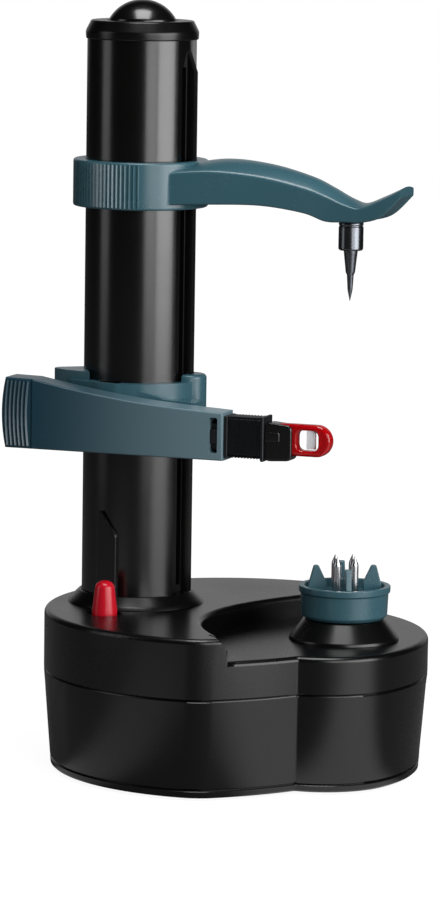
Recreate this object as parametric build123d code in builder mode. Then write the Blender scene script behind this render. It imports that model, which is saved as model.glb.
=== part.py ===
from build123d import *
import os
from math import acos, atan2, cos, degrees, hypot, pi, radians, sin, sqrt, tan

os.makedirs("parts", exist_ok=True)

# Electric potato peeler. Origin on the table under the column, +X to the food holder, +Z up, mm.

# Layout
holder_offset = 84.0  # column axis to food holder axis
base_radius = 72.8
front_radius = 110.0  # shallow curve of the base's front right wall
front_offset = 53.0
front_direction = 158.1
swell_radius = 32.2  # rounder end of the base, in front of the food holder
swell_direction = -17.3
corner_radius = 20.0
crease_radius = 1.5
ramp_place = -74.0  # where the step's front end begins to slope down
ramp_direction = 44.0
ramp_width = 6.0
foot_height = 1.2
cover_height = 3.0
seam_height = 37.9
deck_height = 60.8
platform_height = deck_height - 8.5
base_wall = 2.5
base_draft = 4.5  # degrees
rim_radius = 2.0
seam_chamfer = 0.6
fit = 0.1  # sliding fit, radial
running_fit = 0.05  # shaft in its bush, radial
soft_gap = 0.3
foot_radius = 5.0
foot_circle = base_radius - 22.0

# Column
tube_radius = 20.7
tube_bore = 18.3
tube_bottom = deck_height - 8.5
tube_top = deck_height + 214.0
channel_half_angle = 28.0
channel_depth = 1.7
rail_half_width = 2.0
rail_radius = 21.8
slot_width = 2.6
slot_bottom = deck_height + 8.0
slot_top = deck_height + 204.0
rail_bottom = deck_height + 5.0
rail_top = deck_height + 210.0
rail_ramp = 8.0
foot_ring_height = 4.7
foot_ring_radius = 26.0
pod_radius = 22.2
pod_width = 8.4
pod_angle = -100.0
pod_top = deck_height + 37.0
cap_height = 7.0
cap_radius = 21.2
dome_radius = 12.8
dome_height = 7.8

# Leadscrew
lead = 6.0
screw_core = 3.6
screw_crest = 5.0
screw_journal = 3.0
thread_start = deck_height + 8.0
thread_end = deck_height + 200.0
bush_bottom = deck_height + 205.0

# Upper arm
arm_bottom = deck_height + 151.2
arm_collar_height = 17.7
arm_collar_radius = 25.5
arm_wall = 2.2
spike_tip_height = deck_height + 119.0
sleeve_radius = 4.65
sleeve_bottom = deck_height + 139.2
spindle_radius = 2.5
arm_rib_pitch = 3.7  # degrees
arm_rib_start = 74.0
arm_rib_count = 13
sleeve_top = deck_height + 149.0

# Carriage and peeling lever
carriage_bottom = deck_height + 61.2
carriage_height = 24.8
carriage_radius = 24.5
nut_housing_radius = 6.5
nut_housing_top = carriage_bottom + 27.3
lever_front = -37.5
lever_back = -25.5
lever_left = -40.6
lever_right = 47.8
lever_wall = 2.0
pad_width = 12.0
pad_rib_pitch = 1.62
pad_rib_count = 6
pad_top = carriage_bottom + 26.6
spring_room = 6.6
hinge_top = carriage_bottom + 18.5
socket_start = 34.0
window_left = 42.6
window_width = 3.2
pivot_y = -30.8
pivot_radius = 1.5
lug_bottom = carriage_bottom + 3.0
lug_height = 7.0
nut_half_width = 4.4
nut_half_height = 6.5

# Blade cartridge
grip_length = 15.7
grip_thickness = 9.6
grip_bottom = carriage_bottom + 1.2
grip_height = 15.6
grip_rib_pitch = 1.3
grip_middle_y = -31.6
tongue_half_y = 3.4
tongue_half_z = 5.0
tongue_middle = carriage_bottom + 9.0
guard_band = 5.0
guard_slot_height = 7.4
guard_slot_length = 8.2
blade_holder_end = 74.0
guard_end = 88.8
guard_bottom = carriage_bottom + 3.0
guard_height = 11.9
guard_thickness = 5.0
blade_thickness = 0.6

# Food holder
cup_rim_radius = 17.3
cup_base_radius = 14.8
cup_bottom = deck_height - 0.4
cup_top = deck_height + 12.0
cup_recess = 3.5
fin_top = deck_height + 19.5
fin_thickness = 2.2
pin_radius = 1.5
pin_top = deck_height + 23.0
pin_circle = 4.6
pin_count = 4
fin_start = 25.0
fin_top_radius = 11.8
pedestal_radius = 20.8
holder_shaft_radius = 3.0

# Start button
button_y = -32.4
button_radius = 4.7
button_tip_radius = 3.3
button_top = deck_height + 14.0
button_travel = 3.0
recess_radius = 6.5
recess_depth = 1.6
flange_bottom = deck_height - 8.2
post_bottom = deck_height - 10.4
switch_top = deck_height - 14.4

# Adapter inlet
inlet_x = 8.0
inlet_z = 20.0
inlet_radius = 5.5
inlet_bore = 2.8
inlet_depth = 12.0
inlet_wall_y = 60.8

# Gearbox
plate_thickness = 2.0
lower_plate_bottom = 24.0
upper_plate_bottom = 45.5
gear_bottom = 40.0
gear_thickness = 5.0
gear_gap = 0.3
gear_hub_bottom = 30.0
second_bottom = 36.0
second_thickness = 3.5
first_bottom = 31.5
first_thickness = 3.0
output_module = 1.0
output_teeth = 40
idler_teeth = 44
pinion_teeth = 12
second_module = 0.75
second_wheel_teeth = 48
first_module = 0.5
first_wheel_teeth = 50
motor_pinion_teeth = 10
backlash = 0.16
pressure_angle = 20.0
axle_radius = 1.5
spacer_radius = 4.0
motor_radius = 12.0
motor_length = 26.0
motor_shaft_radius = 1.0

# Batteries
cell_radius = 7.1
cell_length = 49.0
cell_pitch = 14.6
cell_count = 4
battery_centre = (38.0, -10.0)
battery_wall = 1.6
contact_space = 5.2
contact_wire = 0.4

# Fasteners
screw_radius = 1.4
screw_head_radius = 2.8
screw_head_height = 1.8
screw_clearance = 0.1
housing_screw_angles = (35, 105, 152, 207, 268)
housing_screw_circle = base_radius - 8.0
screw_bite = 6.8
boss_radius = 4.0

# Derived places
cell_axis = foot_height + cover_height + 0.4 + cell_radius
cell_top = cell_axis + cell_radius
box_length = cell_length + contact_space
slot_inner = rail_half_width + 0.2
base_centre = (holder_offset / 2, 0.0)
cover_top = foot_height + cover_height
deck_underside = deck_height - base_wall
platform_underside = platform_height - base_wall
lower_plate_top = lower_plate_bottom + plate_thickness
upper_plate_top = upper_plate_bottom + plate_thickness
arm_top = arm_bottom + arm_collar_height
carriage_top = carriage_bottom + carriage_height
cap_top = tube_top + cap_height
bore_radius = tube_radius + fit
rail_notch_half = rail_half_width + 0.4
rail_notch_radius = rail_radius + 0.4


def mesh_phase(driver_phase, driver_teeth, direction, follower_teeth):
    """Turn of a gear that meshes with a driver lying opposite to direction, in degrees."""
    fraction = ((direction - driver_phase) * driver_teeth / 360.0) % 1.0
    return direction + 180.0 + (fraction - 0.5) * 360.0 / follower_teeth


def gear_points(teeth, module_size, addendum, phase):
    """Closed outline of an involute spur gear, with points on the true flanks."""
    pitch = module_size * teeth / 2
    base = pitch * cos(radians(pressure_angle))
    tip = pitch + addendum * module_size
    root = pitch - 1.25 * module_size
    alpha = radians(pressure_angle)
    involute = tan(alpha) - alpha
    half = pi / (2 * teeth) - backlash / (4 * pitch)
    flank_start = max(root, base)
    flank = []
    for step in range(4):
        radius = flank_start + (tip - flank_start) * step / 3
        local = acos(min(1.0, base / radius))
        flank.append((radius, half + involute - (tan(local) - local)))
    if root < base:
        flank.insert(0, (root, flank[0][1]))
    points = []
    for tooth in range(teeth):
        middle = radians(phase) + 2 * pi * tooth / teeth
        for radius, angle in flank:
            points.append((radius * cos(middle - angle), radius * sin(middle - angle)))
        for radius, angle in reversed(flank):
            points.append((radius * cos(middle + angle), radius * sin(middle + angle)))
    return points


def add_gear(centre, bottom, thickness, teeth, module_size, addendum, phase):
    """Add a toothed disc to the part being built."""
    outline = gear_points(teeth, module_size, addendum, phase)
    with BuildSketch(Plane((centre[0], centre[1], bottom))) as profile:
        with BuildLine():
            Polyline(*outline, close=True)
        make_face()
    extrude(profile.sketch, amount=thickness)


def add_disc(centre, bottom, radius, height, mode=Mode.ADD):
    """Add or cut an upright cylinder."""
    with BuildSketch(Plane((centre[0], centre[1], bottom))) as disc:
        Circle(radius)
    extrude(disc.sketch, amount=height, mode=mode)


def add_block(low, high, mode=Mode.ADD):
    """Add or cut a box between two corners."""
    size = [high[i] - low[i] for i in range(3)]
    middle = [(high[i] + low[i]) / 2 for i in range(3)]
    with Locations(tuple(middle)):
        Box(*size, mode=mode)


def save(builder, name):
    """Label a finished piece and write its file."""
    builder.part.label = name
    export_step(builder.part, f"parts/{name}.step")


def along(start, distance, direction):
    """Point at a distance from start in a direction given in degrees."""
    return (start[0] + distance * cos(radians(direction)), start[1] + distance * sin(radians(direction)))


# Gear centres
column_centre = (0.0, 0.0)
holder_centre = (holder_offset, 0.0)
idler_centre = base_centre
second_direction = 110.0
first_direction = 20.0
motor_direction = 35.0
second_distance = output_module * (idler_teeth + pinion_teeth) / 2
first_distance = second_module * (second_wheel_teeth + pinion_teeth) / 2
motor_distance = first_module * (first_wheel_teeth + motor_pinion_teeth) / 2
second_centre = along(idler_centre, second_distance, second_direction)
first_centre = along(second_centre, first_distance, first_direction)
motor_centre = along(first_centre, motor_distance, motor_direction)
spacer_centres = ((-2.0, 27.5), (21.0, -26.0), (63.0, -26.0), (80.0, 28.0))
leg_centres = ((-7.0, 15.0), (86.0, 16.0), (88.0, -16.0), (-8.0, -14.0))
foot_centres = [
    column_centre,
    holder_centre,
    (base_centre[0], foot_circle),
    (base_centre[0], -foot_circle),
]
housing_screw_centres = [along(base_centre, housing_screw_circle, angle) for angle in housing_screw_angles]


def box_corners(grow):
    """Low and high plan corners of the battery space."""
    half_x = cell_count * cell_pitch / 2 + grow
    half_y = box_length / 2 + grow
    x, y = battery_centre
    return (x - half_x, y - half_y), (x + half_x, y + half_y)


def door_corners(shrink):
    """Low and high plan corners of the battery door's opening."""
    return box_corners(-shrink)


# Base housings

drum_centre = (base_centre[0] - 1.0, 0.0)


def crossing(first, first_radius, second, second_radius, side):
    """Point where two circles cross, to the side (1 or -1) of the line between their centres."""
    gap = hypot(second[0] - first[0], second[1] - first[1])
    heading = degrees(atan2(second[1] - first[1], second[0] - first[0]))
    spread = degrees(acos((gap**2 + first_radius**2 - second_radius**2) / (2 * gap * first_radius)))
    return along(first, first_radius, heading + side * spread)


def base_outline(inset):
    """Plan of the base: a drum with a shallow front right wall that meets a rounder end in a crease."""
    drum_radius = base_radius - inset
    front = front_radius - inset
    swell = swell_radius - inset
    front_centre = along(drum_centre, front_offset, front_direction)
    swell_centre = along(drum_centre, base_radius - swell_radius, swell_direction)
    corner = crossing(front_centre, front, drum_centre, drum_radius, -1)
    crease = crossing(front_centre, front, swell_centre, swell, -1)
    swell_end = along(drum_centre, drum_radius, swell_direction)
    halfway = ((corner[0] + crease[0]) / 2, (corner[1] + crease[1]) / 2)
    front_heading = degrees(atan2(halfway[1] - front_centre[1], halfway[0] - front_centre[0]))
    crease_heading = degrees(atan2(crease[1] - swell_centre[1], crease[0] - swell_centre[0]))
    with BuildSketch() as outline:
        with BuildLine():
            ThreePointArc(swell_end, along(drum_centre, drum_radius, 130), corner)
            ThreePointArc(corner, along(front_centre, front, front_heading), crease)
            swell_middle = along(swell_centre, swell, (crease_heading + swell_direction) / 2)
            ThreePointArc(crease, swell_middle, swell_end)
        make_face()
        fillet(outline.vertices().sort_by_distance(corner)[0], radius=corner_radius)
        fillet(outline.vertices().sort_by_distance(crease)[0], radius=crease_radius)
    return outline.sketch


def platform_region(shift):
    """Plan of the lowered platform round the food holder, its edge moved towards the column by shift."""
    x = drum_centre[0] - shift
    with BuildSketch() as region:
        with BuildLine():
            step = Spline(
                (x + 0.48 * base_radius, 1.04 * base_radius),
                (x + 0.16 * base_radius, 0.49 * base_radius),
                (x - 0.05 * base_radius, 0.0),
                (x - 0.05 * base_radius, -0.36 * base_radius),
                (x + 0.08 * base_radius, -0.66 * base_radius),
                (x + 0.42 * base_radius, -1.02 * base_radius),
            )
            right = x + 1.4 * base_radius
            Polyline(step @ 1, (right, -1.1 * base_radius), (right, 1.1 * base_radius), step @ 0)
        make_face()
    return region.sketch


drum = base_outline(0)
cavity = base_outline(base_wall)

with BuildPart() as platform_drum:
    with BuildSketch(Plane.XY.offset(seam_height)):
        add(drum)
    extrude(amount=platform_height - seam_height)
    fillet(platform_drum.edges().group_by(Axis.Z)[-1], radius=rim_radius)
    chamfer(platform_drum.edges().group_by(Axis.Z)[0], length=seam_chamfer)

with BuildPart() as deck_drum:
    with BuildSketch(Plane.XY.offset(seam_height)):
        add(drum)
        add(platform_region(0), mode=Mode.SUBTRACT)
    extrude(amount=deck_height - seam_height)
    fillet(deck_drum.edges().group_by(Axis.Z)[-1], radius=rim_radius)
    chamfer(deck_drum.edges().group_by(Axis.Z)[0], length=seam_chamfer)
    # Ramp from the deck down to the platform, at the front end of the step
    ramp_top = along(drum_centre, base_radius, ramp_place)
    step_height = deck_height - platform_height
    downhill = (cos(radians(ramp_direction)), sin(radians(ramp_direction)), 0)
    uphill_end = (sin(radians(ramp_direction)), -cos(radians(ramp_direction)), 0)
    with BuildSketch(
        Plane(origin=(ramp_top[0], ramp_top[1], deck_height), x_dir=downhill, z_dir=uphill_end)
    ) as ramp:
        with BuildLine():
            Polyline((0, 0), (2 * ramp_width, 0), (2 * ramp_width, -2 * step_height), close=True)
        make_face()
    extrude(ramp.sketch, amount=14, both=True, mode=Mode.SUBTRACT)

with BuildPart() as base_upper_housing:
    add(platform_drum.part)
    add(deck_drum.part)
    with BuildSketch(Plane.XY.offset(seam_height)):
        add(cavity)
    extrude(amount=platform_underside - seam_height, mode=Mode.SUBTRACT)
    with BuildSketch(Plane.XY.offset(platform_underside)):
        add(cavity)
        add(platform_region(1.3 * base_wall), mode=Mode.SUBTRACT)
    extrude(amount=deck_underside - platform_underside, mode=Mode.SUBTRACT)
    # Column socket
    add_disc(column_centre, tube_bottom - 1.5, tube_radius + base_wall + 1, deck_underside - tube_bottom + 1.5)
    add_disc(column_centre, tube_bottom, tube_radius, 20, mode=Mode.SUBTRACT)
    add_disc(column_centre, tube_bottom - 1.5, tube_bore - 4, 20, mode=Mode.SUBTRACT)
    # Holder bearing
    add_disc(holder_centre, platform_underside, 7.0, 1.0)
    add_disc(holder_centre, platform_underside, 4.5, 10, mode=Mode.SUBTRACT)
    # Button guide
    button_centre = (0.0, button_y)
    add_disc(button_centre, deck_underside - 4, recess_radius + 1.5, 4)
    add_disc(button_centre, deck_height - recess_depth, recess_radius, 10, mode=Mode.SUBTRACT)
    add_disc(button_centre, seam_height, button_radius + 0.15, 30, mode=Mode.SUBTRACT)
    # Screw bosses
    for centre in housing_screw_centres:
        roof = deck_underside if centre[0] < base_centre[0] else platform_underside
        add_disc(centre, seam_height, boss_radius, roof - seam_height)
        add_disc(centre, seam_height, screw_radius + screw_clearance, 9, mode=Mode.SUBTRACT)
    for centre in spacer_centres[:2]:
        add_disc(centre, upper_plate_top, boss_radius, deck_underside - upper_plate_top)
        add_disc(centre, upper_plate_top, screw_radius + screw_clearance, 6, mode=Mode.SUBTRACT)


def draft_inset(height):
    """How far the drafted wall has moved inwards at a height below the seam."""
    return (seam_height - height) * tan(radians(base_draft))


def lofted_drum(levels):
    """Solid through the base's outline at each level, given as height and extra inset."""
    with BuildPart() as drum_body:
        for height, extra in levels:
            with BuildSketch(Plane.XY.offset(height)):
                add(base_outline(draft_inset(height) + extra))
        loft(ruled=True)
    return drum_body.part


with BuildPart() as base_lower_housing:
    add(
        lofted_drum(
            (
                (cover_top, seam_chamfer),
                (cover_top + seam_chamfer, 0),
                (seam_height - seam_chamfer, 0),
                (seam_height, seam_chamfer),
            )
        )
    )
    with BuildSketch(Plane.XY.offset(cover_top)):
        add(base_outline(draft_inset(cover_top) + base_wall))
    extrude(amount=seam_height - cover_top, mode=Mode.SUBTRACT)
    for centre in housing_screw_centres:
        add_disc(centre, cover_top, boss_radius, seam_height - cover_top)
        add_disc(centre, cover_top, screw_radius + screw_clearance, 60, mode=Mode.SUBTRACT)
    # Hole for the adapter inlet
    with BuildSketch(Plane.XZ.offset(-inlet_wall_y + 8)) as inlet_hole:
        with Locations((inlet_x, inlet_z)):
            Circle(inlet_radius)
    extrude(inlet_hole.sketch, amount=-20, mode=Mode.SUBTRACT)

with BuildPart() as base_cover:
    add(
        lofted_drum(
            (
                (foot_height, seam_chamfer),
                (foot_height + seam_chamfer, 0),
                (cover_top - seam_chamfer, 0),
                (cover_top, seam_chamfer),
            )
        )
    )
    door_low, door_high = door_corners(0)
    add_block((*door_low, foot_height), (*door_high, cover_top), mode=Mode.SUBTRACT)
    for centre in leg_centres:
        add_disc(centre, cover_top, boss_radius - 0.5, lower_plate_bottom - cover_top)
    for centre in housing_screw_centres:
        add_disc(centre, foot_height, screw_radius + screw_clearance, 10, mode=Mode.SUBTRACT)
        add_disc(centre, foot_height, screw_head_radius + 0.4, screw_head_height + 0.2, mode=Mode.SUBTRACT)
    for centre in foot_centres:
        add_disc(centre, foot_height, foot_radius, 1.0, mode=Mode.SUBTRACT)
    # Saddle under the motor
    add_disc(motor_centre, cover_top, motor_radius + 1.5, 3.0)
    add_disc(motor_centre, cover_top + 0.3, motor_radius, 3.0, mode=Mode.SUBTRACT)

with BuildPart() as battery_door:
    low, high = door_corners(soft_gap)
    door_top = cover_top - 0.5
    hinge_radius = (door_top - foot_height) / 2
    add_block((*low, foot_height), (high[0], high[1] - hinge_radius, door_top))
    with BuildSketch(Plane.YZ.offset(low[0])) as hinge_edge:
        with Locations((high[1] - hinge_radius, foot_height + hinge_radius)):
            Circle(hinge_radius)
    extrude(hinge_edge.sketch, amount=high[0] - low[0])
    grip_x = (low[0] + high[0]) / 2
    with Locations(*[(grip_x, high[1] - 5.0 - 2.0 * i, foot_height) for i in range(4)]):
        Box(16, 0.8, 1.2, mode=Mode.SUBTRACT)

with BuildPart() as rubber_feet:
    for centre in foot_centres:
        add_disc(centre, 0, foot_radius, foot_height + 1.0)

save(base_upper_housing, "base_upper_housing")
save(base_lower_housing, "base_lower_housing")
save(base_cover, "base_cover")
save(battery_door, "battery_door")
save(rubber_feet, "rubber_feet")


# Batteries and wiring

with BuildPart() as battery_box:
    low, high = box_corners(battery_wall)
    add_block((*low, cover_top), (*high, cell_top + soft_gap + battery_wall))
    low, high = box_corners(0)
    add_block((*low, cover_top), (*high, cell_top + soft_gap), mode=Mode.SUBTRACT)

with BuildPart() as battery_cells:
    for index in range(cell_count):
        turn = 1 if index % 2 else -1
        x = battery_centre[0] + (index - (cell_count - 1) / 2) * cell_pitch
        start = battery_centre[1] - turn * (cell_length / 2 + 0.8)
        with BuildSketch(Plane((x, start, cell_axis), x_dir=(1, 0, 0), z_dir=(0, turn, 0))):
            Circle(cell_radius)
        extrude(amount=cell_length)
        nub_end = (x, start + turn * cell_length, cell_axis)
        with BuildSketch(Plane(nub_end, x_dir=(1, 0, 0), z_dir=(0, turn, 0))):
            Circle(2.75)
        extrude(amount=1.2)

with BuildPart() as contact_springs:
    for index in range(cell_count):
        turn = 1 if index % 2 else -1
        x = battery_centre[0] + (index - (cell_count - 1) / 2) * cell_pitch
        cell_end = battery_centre[1] - turn * (cell_length / 2 + 0.8)
        wall_y = battery_centre[1] - turn * box_length / 2
        reach = abs(cell_end - wall_y)
        with BuildLine() as coil:
            Helix(
                pitch=reach / 3.2,
                height=reach - 1.0,
                radius=3.2,
                center=(x, wall_y + turn * 0.5, cell_axis),
                direction=(0, turn, 0),
            )
        with BuildSketch(Plane(origin=coil.line @ 0, z_dir=coil.line % 0)):
            Circle(contact_wire)
        sweep(path=coil.line)

with BuildPart() as contact_plates:
    for index in range(cell_count):
        turn = 1 if index % 2 else -1
        x = battery_centre[0] + (index - (cell_count - 1) / 2) * cell_pitch
        wall_y = battery_centre[1] + turn * box_length / 2
        tip_y = battery_centre[1] + turn * (cell_length / 2 - 0.8 + 1.2)
        low_y, high_y = sorted((wall_y, tip_y + turn * 0.1))
        add_block((x - 4.5, low_y, cell_axis - 4.5), (x + 4.5, high_y, cell_axis + 4.5))

save(battery_box, "battery_box")
save(battery_cells, "battery_cells")
save(contact_springs, "battery_contact_springs")
save(contact_plates, "battery_contact_plates")


# Drive train

idler_phase = 0.0
leadscrew_phase = mesh_phase(idler_phase, idler_teeth, 180.0, output_teeth)
holder_phase = mesh_phase(idler_phase, idler_teeth, 0.0, output_teeth)
second_phase = mesh_phase(idler_phase, idler_teeth, second_direction, pinion_teeth)
first_phase = mesh_phase(second_phase, second_wheel_teeth, first_direction, pinion_teeth)
motor_phase = mesh_phase(first_phase, first_wheel_teeth, motor_direction, motor_pinion_teeth)


def add_plate(bottom):
    """Add a gearbox plate, which spans all the gear axles."""
    with BuildSketch(Plane.XY.offset(bottom)) as plan:
        with Locations(base_centre):
            SlotCenterToCenter(holder_offset, 26)
        with Locations((43.0, 18.0)):
            RectangleRounded(86.0, 20.0, 4.0)
        with Locations((56.0, 36.0)):
            RectangleRounded(40.0, 34.0, 6.0)
        for centre in spacer_centres:
            with Locations((centre[0], centre[1] * 0.75)):
                RectangleRounded(2 * spacer_radius + 4, abs(centre[1]) * 0.5 + 2 * spacer_radius + 2, 4.0)
    extrude(plan.sketch, amount=plate_thickness)


with BuildPart() as gearbox_lower_plate:
    add_plate(lower_plate_bottom)
    for centre in spacer_centres:
        add_disc(centre, lower_plate_top, spacer_radius, upper_plate_bottom - lower_plate_top)
        add_disc(centre, lower_plate_bottom, screw_radius + screw_clearance, 60, mode=Mode.SUBTRACT)
    add_disc(motor_centre, lower_plate_bottom - 1, motor_radius + soft_gap, 10, mode=Mode.SUBTRACT)
    for centre in (column_centre, holder_centre):
        add_disc(centre, lower_plate_bottom - 1, 5.0, 10, mode=Mode.SUBTRACT)
    for centre in (idler_centre, second_centre, first_centre):
        add_disc(centre, lower_plate_bottom, axle_radius, 10, mode=Mode.SUBTRACT)

with BuildPart() as gearbox_upper_plate:
    add_plate(upper_plate_bottom)
    for centre in spacer_centres:
        add_disc(centre, upper_plate_bottom, screw_radius + screw_clearance, 10, mode=Mode.SUBTRACT)
    for centre in (column_centre, holder_centre):
        add_disc(centre, upper_plate_bottom - 1, holder_shaft_radius + running_fit, 10, mode=Mode.SUBTRACT)
    for centre in (idler_centre, second_centre, first_centre):
        add_disc(centre, upper_plate_bottom - 1, axle_radius, 10, mode=Mode.SUBTRACT)

with BuildPart() as shaft_bushes:
    for centre in (column_centre, holder_centre):
        add_disc(centre, lower_plate_bottom, 5.0, plate_thickness)
        add_disc(centre, lower_plate_top, 6.0, 1.0)
        add_disc(centre, lower_plate_bottom, holder_shaft_radius + running_fit, 10, mode=Mode.SUBTRACT)

with BuildPart() as gear_axles:
    for centre in (idler_centre, second_centre, first_centre):
        add_disc(centre, lower_plate_bottom, axle_radius, upper_plate_top - lower_plate_bottom)

with BuildPart() as idler_gear:
    add_gear(idler_centre, gear_bottom, gear_thickness, idler_teeth, output_module, 0.65, idler_phase)
    add_disc(idler_centre, lower_plate_top + gear_gap, 4.0, gear_bottom - lower_plate_top - gear_gap)
    add_disc(idler_centre, lower_plate_top, axle_radius + running_fit, 30, mode=Mode.SUBTRACT)

with BuildPart() as second_gear:
    add_gear(
        second_centre, second_bottom, second_thickness,
        second_wheel_teeth, second_module, 0.65, second_phase,
    )
    add_gear(
        second_centre,
        second_bottom + second_thickness,
        gear_bottom + gear_thickness - second_bottom - second_thickness,
        pinion_teeth,
        output_module,
        0.9,
        second_phase,
    )
    add_disc(second_centre, lower_plate_top + gear_gap, 3.5, second_bottom - lower_plate_top - gear_gap)
    add_disc(second_centre, lower_plate_top, axle_radius + running_fit, 30, mode=Mode.SUBTRACT)

with BuildPart() as first_gear:
    add_gear(first_centre, first_bottom, first_thickness, first_wheel_teeth, first_module, 0.6, first_phase)
    add_gear(
        first_centre,
        first_bottom + first_thickness,
        second_bottom + second_thickness + 0.2 - first_bottom - first_thickness,
        pinion_teeth,
        second_module,
        0.9,
        first_phase,
    )
    add_disc(first_centre, lower_plate_top + gear_gap, 2.5, upper_plate_bottom - lower_plate_top - 2 * gear_gap)
    add_disc(first_centre, lower_plate_top, axle_radius + running_fit, 30, mode=Mode.SUBTRACT)

motor_top = cover_top + 0.3 + motor_length
with BuildPart() as motor:
    add_disc(motor_centre, cover_top + 0.3, motor_radius, motor_length)
    fillet(motor.edges().group_by(Axis.Z)[-1], radius=1.0)
    add_disc(motor_centre, motor_top, 3.0, 0.4)
    add_disc(motor_centre, motor_top - 6, motor_shaft_radius + running_fit, 10, mode=Mode.SUBTRACT)

with BuildPart() as motor_pinion:
    pinion_bottom = first_bottom - 0.2
    add_gear(
        motor_centre,
        pinion_bottom,
        first_thickness + 0.6,
        motor_pinion_teeth,
        first_module,
        0.9,
        motor_phase,
    )
    add_disc(motor_centre, motor_top - 5.5, motor_shaft_radius, pinion_bottom - motor_top + 5.5)

with BuildPart() as leadscrew_gear:
    add_gear(column_centre, gear_bottom, gear_thickness, output_teeth, output_module, 0.65, leadscrew_phase)
    add_disc(column_centre, gear_hub_bottom, 7.0, gear_bottom - gear_hub_bottom)
    add_disc(column_centre, gear_hub_bottom, screw_journal, 60, mode=Mode.SUBTRACT)

with BuildPart() as holder_gear:
    add_gear(holder_centre, gear_bottom, gear_thickness, output_teeth, output_module, 0.65, holder_phase)
    add_disc(holder_centre, gear_hub_bottom, 7.0, gear_bottom - gear_hub_bottom)
    add_disc(holder_centre, gear_hub_bottom, holder_shaft_radius, 60, mode=Mode.SUBTRACT)

save(gearbox_lower_plate, "gearbox_lower_plate")
save(gearbox_upper_plate, "gearbox_upper_plate")
save(shaft_bushes, "shaft_bushes")
save(gear_axles, "gear_axles")
save(idler_gear, "idler_gear")
save(second_gear, "second_reduction_gear")
save(first_gear, "first_reduction_gear")
save(motor, "motor")
save(motor_pinion, "motor_pinion")
save(leadscrew_gear, "leadscrew_gear")
save(holder_gear, "holder_gear")


# Column

def sector(half_angle, radius):
    """Plan of a pie slice about +X."""
    reach = 2 * radius
    with BuildSketch() as slice_plan:
        Circle(radius)
        with BuildLine():
            Polyline(
                (0, 0),
                (reach * cos(radians(half_angle)), reach * sin(radians(half_angle))),
                (reach * cos(radians(half_angle)), -reach * sin(radians(half_angle))),
                close=True,
            )
        make_face(mode=Mode.INTERSECT)
    return slice_plan.sketch


def tube_inside(shrink):
    """Plan of the column's bore, which steps inwards behind the channel."""
    with BuildSketch() as bore:
        Circle(tube_bore - shrink)
        add(sector(channel_half_angle + 6, tube_bore + 5), mode=Mode.SUBTRACT)
        Circle(tube_bore - channel_depth - shrink)
    return bore.sketch


def tangent_plane(angle, distance):
    """Upright plane that faces outwards from the column at an angle, with its y upwards."""
    outwards = (cos(radians(angle)), sin(radians(angle)), 0)
    sideways = (-sin(radians(angle)), cos(radians(angle)), 0)
    return Plane(
        origin=(distance * outwards[0], distance * outwards[1], 0), x_dir=sideways, z_dir=outwards
    )


ring_top = deck_height + foot_ring_height
channel_floor = tube_radius - channel_depth

with BuildPart() as column_tube:
    with BuildSketch(Plane.XY.offset(tube_bottom)):
        Circle(tube_radius)
        add(tube_inside(0), mode=Mode.SUBTRACT)
    extrude(amount=tube_top - tube_bottom)
    with BuildSketch(Plane.XY.offset(ring_top)):
        add(sector(channel_half_angle, tube_radius + 5))
        Circle(channel_floor, mode=Mode.SUBTRACT)
    extrude(amount=tube_top - ring_top, mode=Mode.SUBTRACT)
    with BuildSketch(Plane.XZ.offset(-rail_half_width)):
        with BuildLine():
            Polyline(
                (channel_floor - 0.5, rail_bottom),
                (rail_radius, rail_bottom),
                (rail_radius, rail_top - rail_ramp),
                (channel_floor, rail_top),
                (channel_floor - 0.5, rail_top),
                close=True,
            )
        make_face()
    extrude(amount=2 * rail_half_width)
    for side in (-1, 1):
        edges = sorted((side * slot_inner, side * (slot_inner + slot_width)))
        add_block(
            (tube_bore - 5, edges[0], slot_bottom),
            (tube_radius + 2, edges[1], slot_top),
            mode=Mode.SUBTRACT,
        )
    with BuildSketch(tangent_plane(pod_angle, tube_radius - 1)) as pod_face:
        half = pod_width / 2
        with BuildLine():
            Polyline(
                (-half, ring_top),
                (half, ring_top),
                (half, pod_top - 9),
                (-half + 1.5, pod_top),
                (-half, pod_top),
                close=True,
            )
        make_face()
        fillet(pod_face.vertices().filter_by(lambda v: v.Y > ring_top), radius=0.7)
    extrude(amount=pod_radius - tube_radius + 1)

with BuildPart() as column_foot_ring:
    with BuildSketch(Plane.XZ):
        with BuildLine():
            Polyline(
                (tube_radius + running_fit, deck_height),
                (foot_ring_radius, deck_height),
                (foot_ring_radius - 1.0, deck_height + 1.2),
                (tube_radius + 0.9, ring_top),
                (tube_radius + running_fit, ring_top),
                close=True,
            )
        make_face()
    revolve(axis=Axis.Z)

with BuildPart() as column_cap:
    spigot = 3.0
    with BuildSketch(Plane.XY.offset(tube_top - spigot)):
        add(tube_inside(fit))
        Circle(dome_radius + 1.7, mode=Mode.SUBTRACT)
    extrude(amount=spigot)
    with BuildSketch(Plane.XZ):
        with BuildLine():
            Polyline(
                (dome_radius + 1.7, tube_top),
                (cap_radius, tube_top),
                (cap_radius, tube_top + 3.2),
                (cap_radius - 2.0, cap_top),
                (dome_radius + fit, cap_top),
                (dome_radius + fit, cap_top - 2.0),
                (dome_radius + 1.7, cap_top - 2.0),
                close=True,
            )
        make_face()
    revolve(axis=Axis.Z)

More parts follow.
